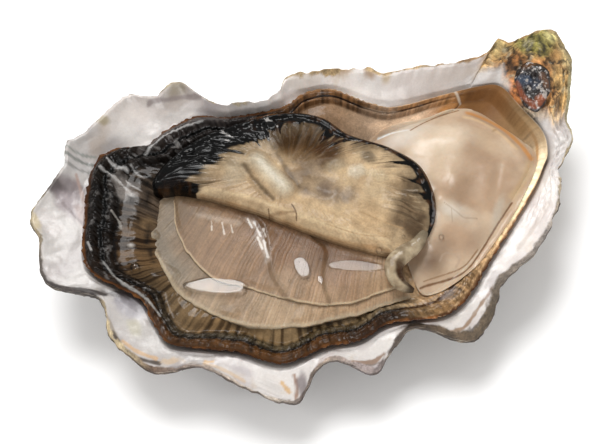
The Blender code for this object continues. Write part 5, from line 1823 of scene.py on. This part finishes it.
@dataclass(frozen=True)
class Bubble:
    """A half-sunk bubble: a sphere's skin at a place on the meat."""

    at: Place
    radius: float

    def rings(self, relief: Relief, around: int = 24, count: int = 13) -> Array:
        """Circles of latitude from the top of the sphere to its foot."""
        turn = np.linspace(0, 2 * math.pi, around, endpoint=False)
        down = np.linspace(0.05, math.pi - 0.05, count)[:, None]
        base = relief.at(np.array(self.at))
        return stack(self.at[0] + self.radius * np.sin(down) * np.cos(turn),
                     self.at[1] + self.radius * np.sin(down) * np.sin(turn),
                     base + 0.3 * self.radius + self.radius * np.cos(down) * np.ones(around))


PUDDLES: tuple[Puddle, ...] = (
    Puddle((-25.6, -8.4), (6, 1.9), -22, 1),
    Puddle((-9.8, -10.6), (1.5, 2.4), -5, 2),
    Puddle((-0.6, -13.8), (5.6, 1.2), -24, 3),
    Puddle((-7.6, -14.2), (0.5, 0.9), 0, 4),
)
BUBBLES: tuple[Bubble, ...] = (
    Bubble((-38.8, 0.6), 0.9), Bubble((16.6, -14.4), 0.5), Bubble((4.4, -13.4), 0.6),
    Bubble((-9.6, -13.4), 0.3), Bubble((-6, -10.4), 0.25), Bubble((-13, -12.4), 0.25),
    Bubble((9.6, -12.6), 0.35),
)


def lay_liquor(relief: Relief) -> None:
    """Set the puddles and bubbles on the finished meat."""
    for shape, things in (("puddle", PUDDLES), ("bubble", BUBBLES)):
        for number, thing in enumerate(things, 1):
            rings = thing.rings(relief)
            clear = np.ones(rings.shape)
            piece = skin(f"liquor_{shape}_{number}", rings, clear, clear[..., 0])
            settle(piece, Liquor(), "gill")


# ------------------------------------------------------------------ the studio
@dataclass(frozen=True)
class Softbox:
    """One rectangular light: its bearing, height, distance, size in metres, and watts."""

    name: str
    azimuth: float
    elevation: float
    away: float
    size: Place
    watts: float


@dataclass
class Studio:
    """A white table, the camera, a wide soft light from the far side and three weaker ones."""

    azimuth: float = -21.0
    elevation: float = 60.0
    distance: float = 0.321
    target: Point = (-0.005635, -0.001715, 0.017)
    lens_mm: float = 100.0
    sensor_mm: float = 36.0
    table_half: float = 3.0
    table_white: float = 0.93
    air_colour: Point = (1.0, 0.975, 0.95)
    air_strength: float = 0.62
    lights: tuple[Softbox, ...] = (
        Softbox("key", 187.0, 65.0, 0.9, (0.42, 0.42), 5.9),
        Softbox("front", -8.0, 17.0, 0.9, (0.5, 0.16), 3.2),
        Softbox("top", 159.0, 60.0, 0.62, (0.16, 0.11), 0.6),
        Softbox("left", -105.0, 38.0, 0.8, (0.1, 0.3), 1.0),
    )

    def aim(self, thing: bpy.types.Object, azimuth: float, elevation: float, away: float) -> None:
        """Put a camera or a light at a bearing, height and distance, looking at the target."""
        a, e = math.radians(azimuth), math.radians(elevation)
        back = Vector((math.sin(a) * math.cos(e), -math.cos(a) * math.cos(e), math.sin(e)))
        thing.location = Vector(self.target) + back * away
        thing.rotation_euler = (-back).to_track_quat("-Z", "Y").to_euler()
        bpy.context.scene.collection.objects.link(thing)

    def table(self) -> None:
        """A matt white square under everything."""
        half = self.table_half
        mesh = bpy.data.meshes.new("table")
        mesh.from_pydata([(-half, -half, 0), (half, -half, 0), (half, half, 0), (-half, half, 0)],
                         [], [(0, 1, 2, 3)])
        table = bpy.data.objects.new("table", mesh)
        bpy.context.scene.collection.objects.link(table)
        white = bpy.data.materials.new("table_white")
        white.use_nodes = True
        feed(white.node_tree.nodes["Principled BSDF"], {
            "Base Color": (*[self.table_white] * 3, 1), "Roughness": 0.9,
            "Specular IOR Level": 0.1})
        mesh.materials.append(white)
        table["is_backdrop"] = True

    def build(self) -> None:
        """Make the table, the world, the lights and the camera."""
        scene = bpy.context.scene
        self.table()
        world = bpy.data.worlds.new("studio")
        world.use_nodes = True
        feed(world.node_tree.nodes["Background"],
             {"Color": (*self.air_colour, 1), "Strength": self.air_strength})
        scene.world = world
        for light in self.lights:
            lamp = bpy.data.lights.new(light.name, "AREA")
            lamp.shape = "RECTANGLE"
            lamp.size, lamp.size_y = light.size
            lamp.energy = light.watts
            self.aim(bpy.data.objects.new(light.name, lamp), light.azimuth, light.elevation,
                     light.away)
        lens = bpy.data.cameras.new("camera")
        lens.lens = self.lens_mm
        lens.sensor_width = self.sensor_mm
        lens.clip_start = 0.01
        scene.camera = bpy.data.objects.new("camera", lens)
        self.aim(scene.camera, self.azimuth, self.elevation, self.distance)
        scene.view_settings.view_transform = "Standard"


def main() -> None:
    """Build the oyster from the shell inwards, then the studio."""
    logging.basicConfig(level=logging.INFO, format="%(name)s %(message)s")
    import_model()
    Shell().build()
    relief = Relief()
    MantleBed().build(relief)
    LOWER_LEAF.build(relief)
    UPPER_LEAF.build(relief)
    SoftBody().build(relief)
    UpperMantle().build(relief)
    TailRoll().build(relief)
    Ligament().build()
    lay_liquor(relief)
    Studio().build()


if __name__ == "__main__":
    main()
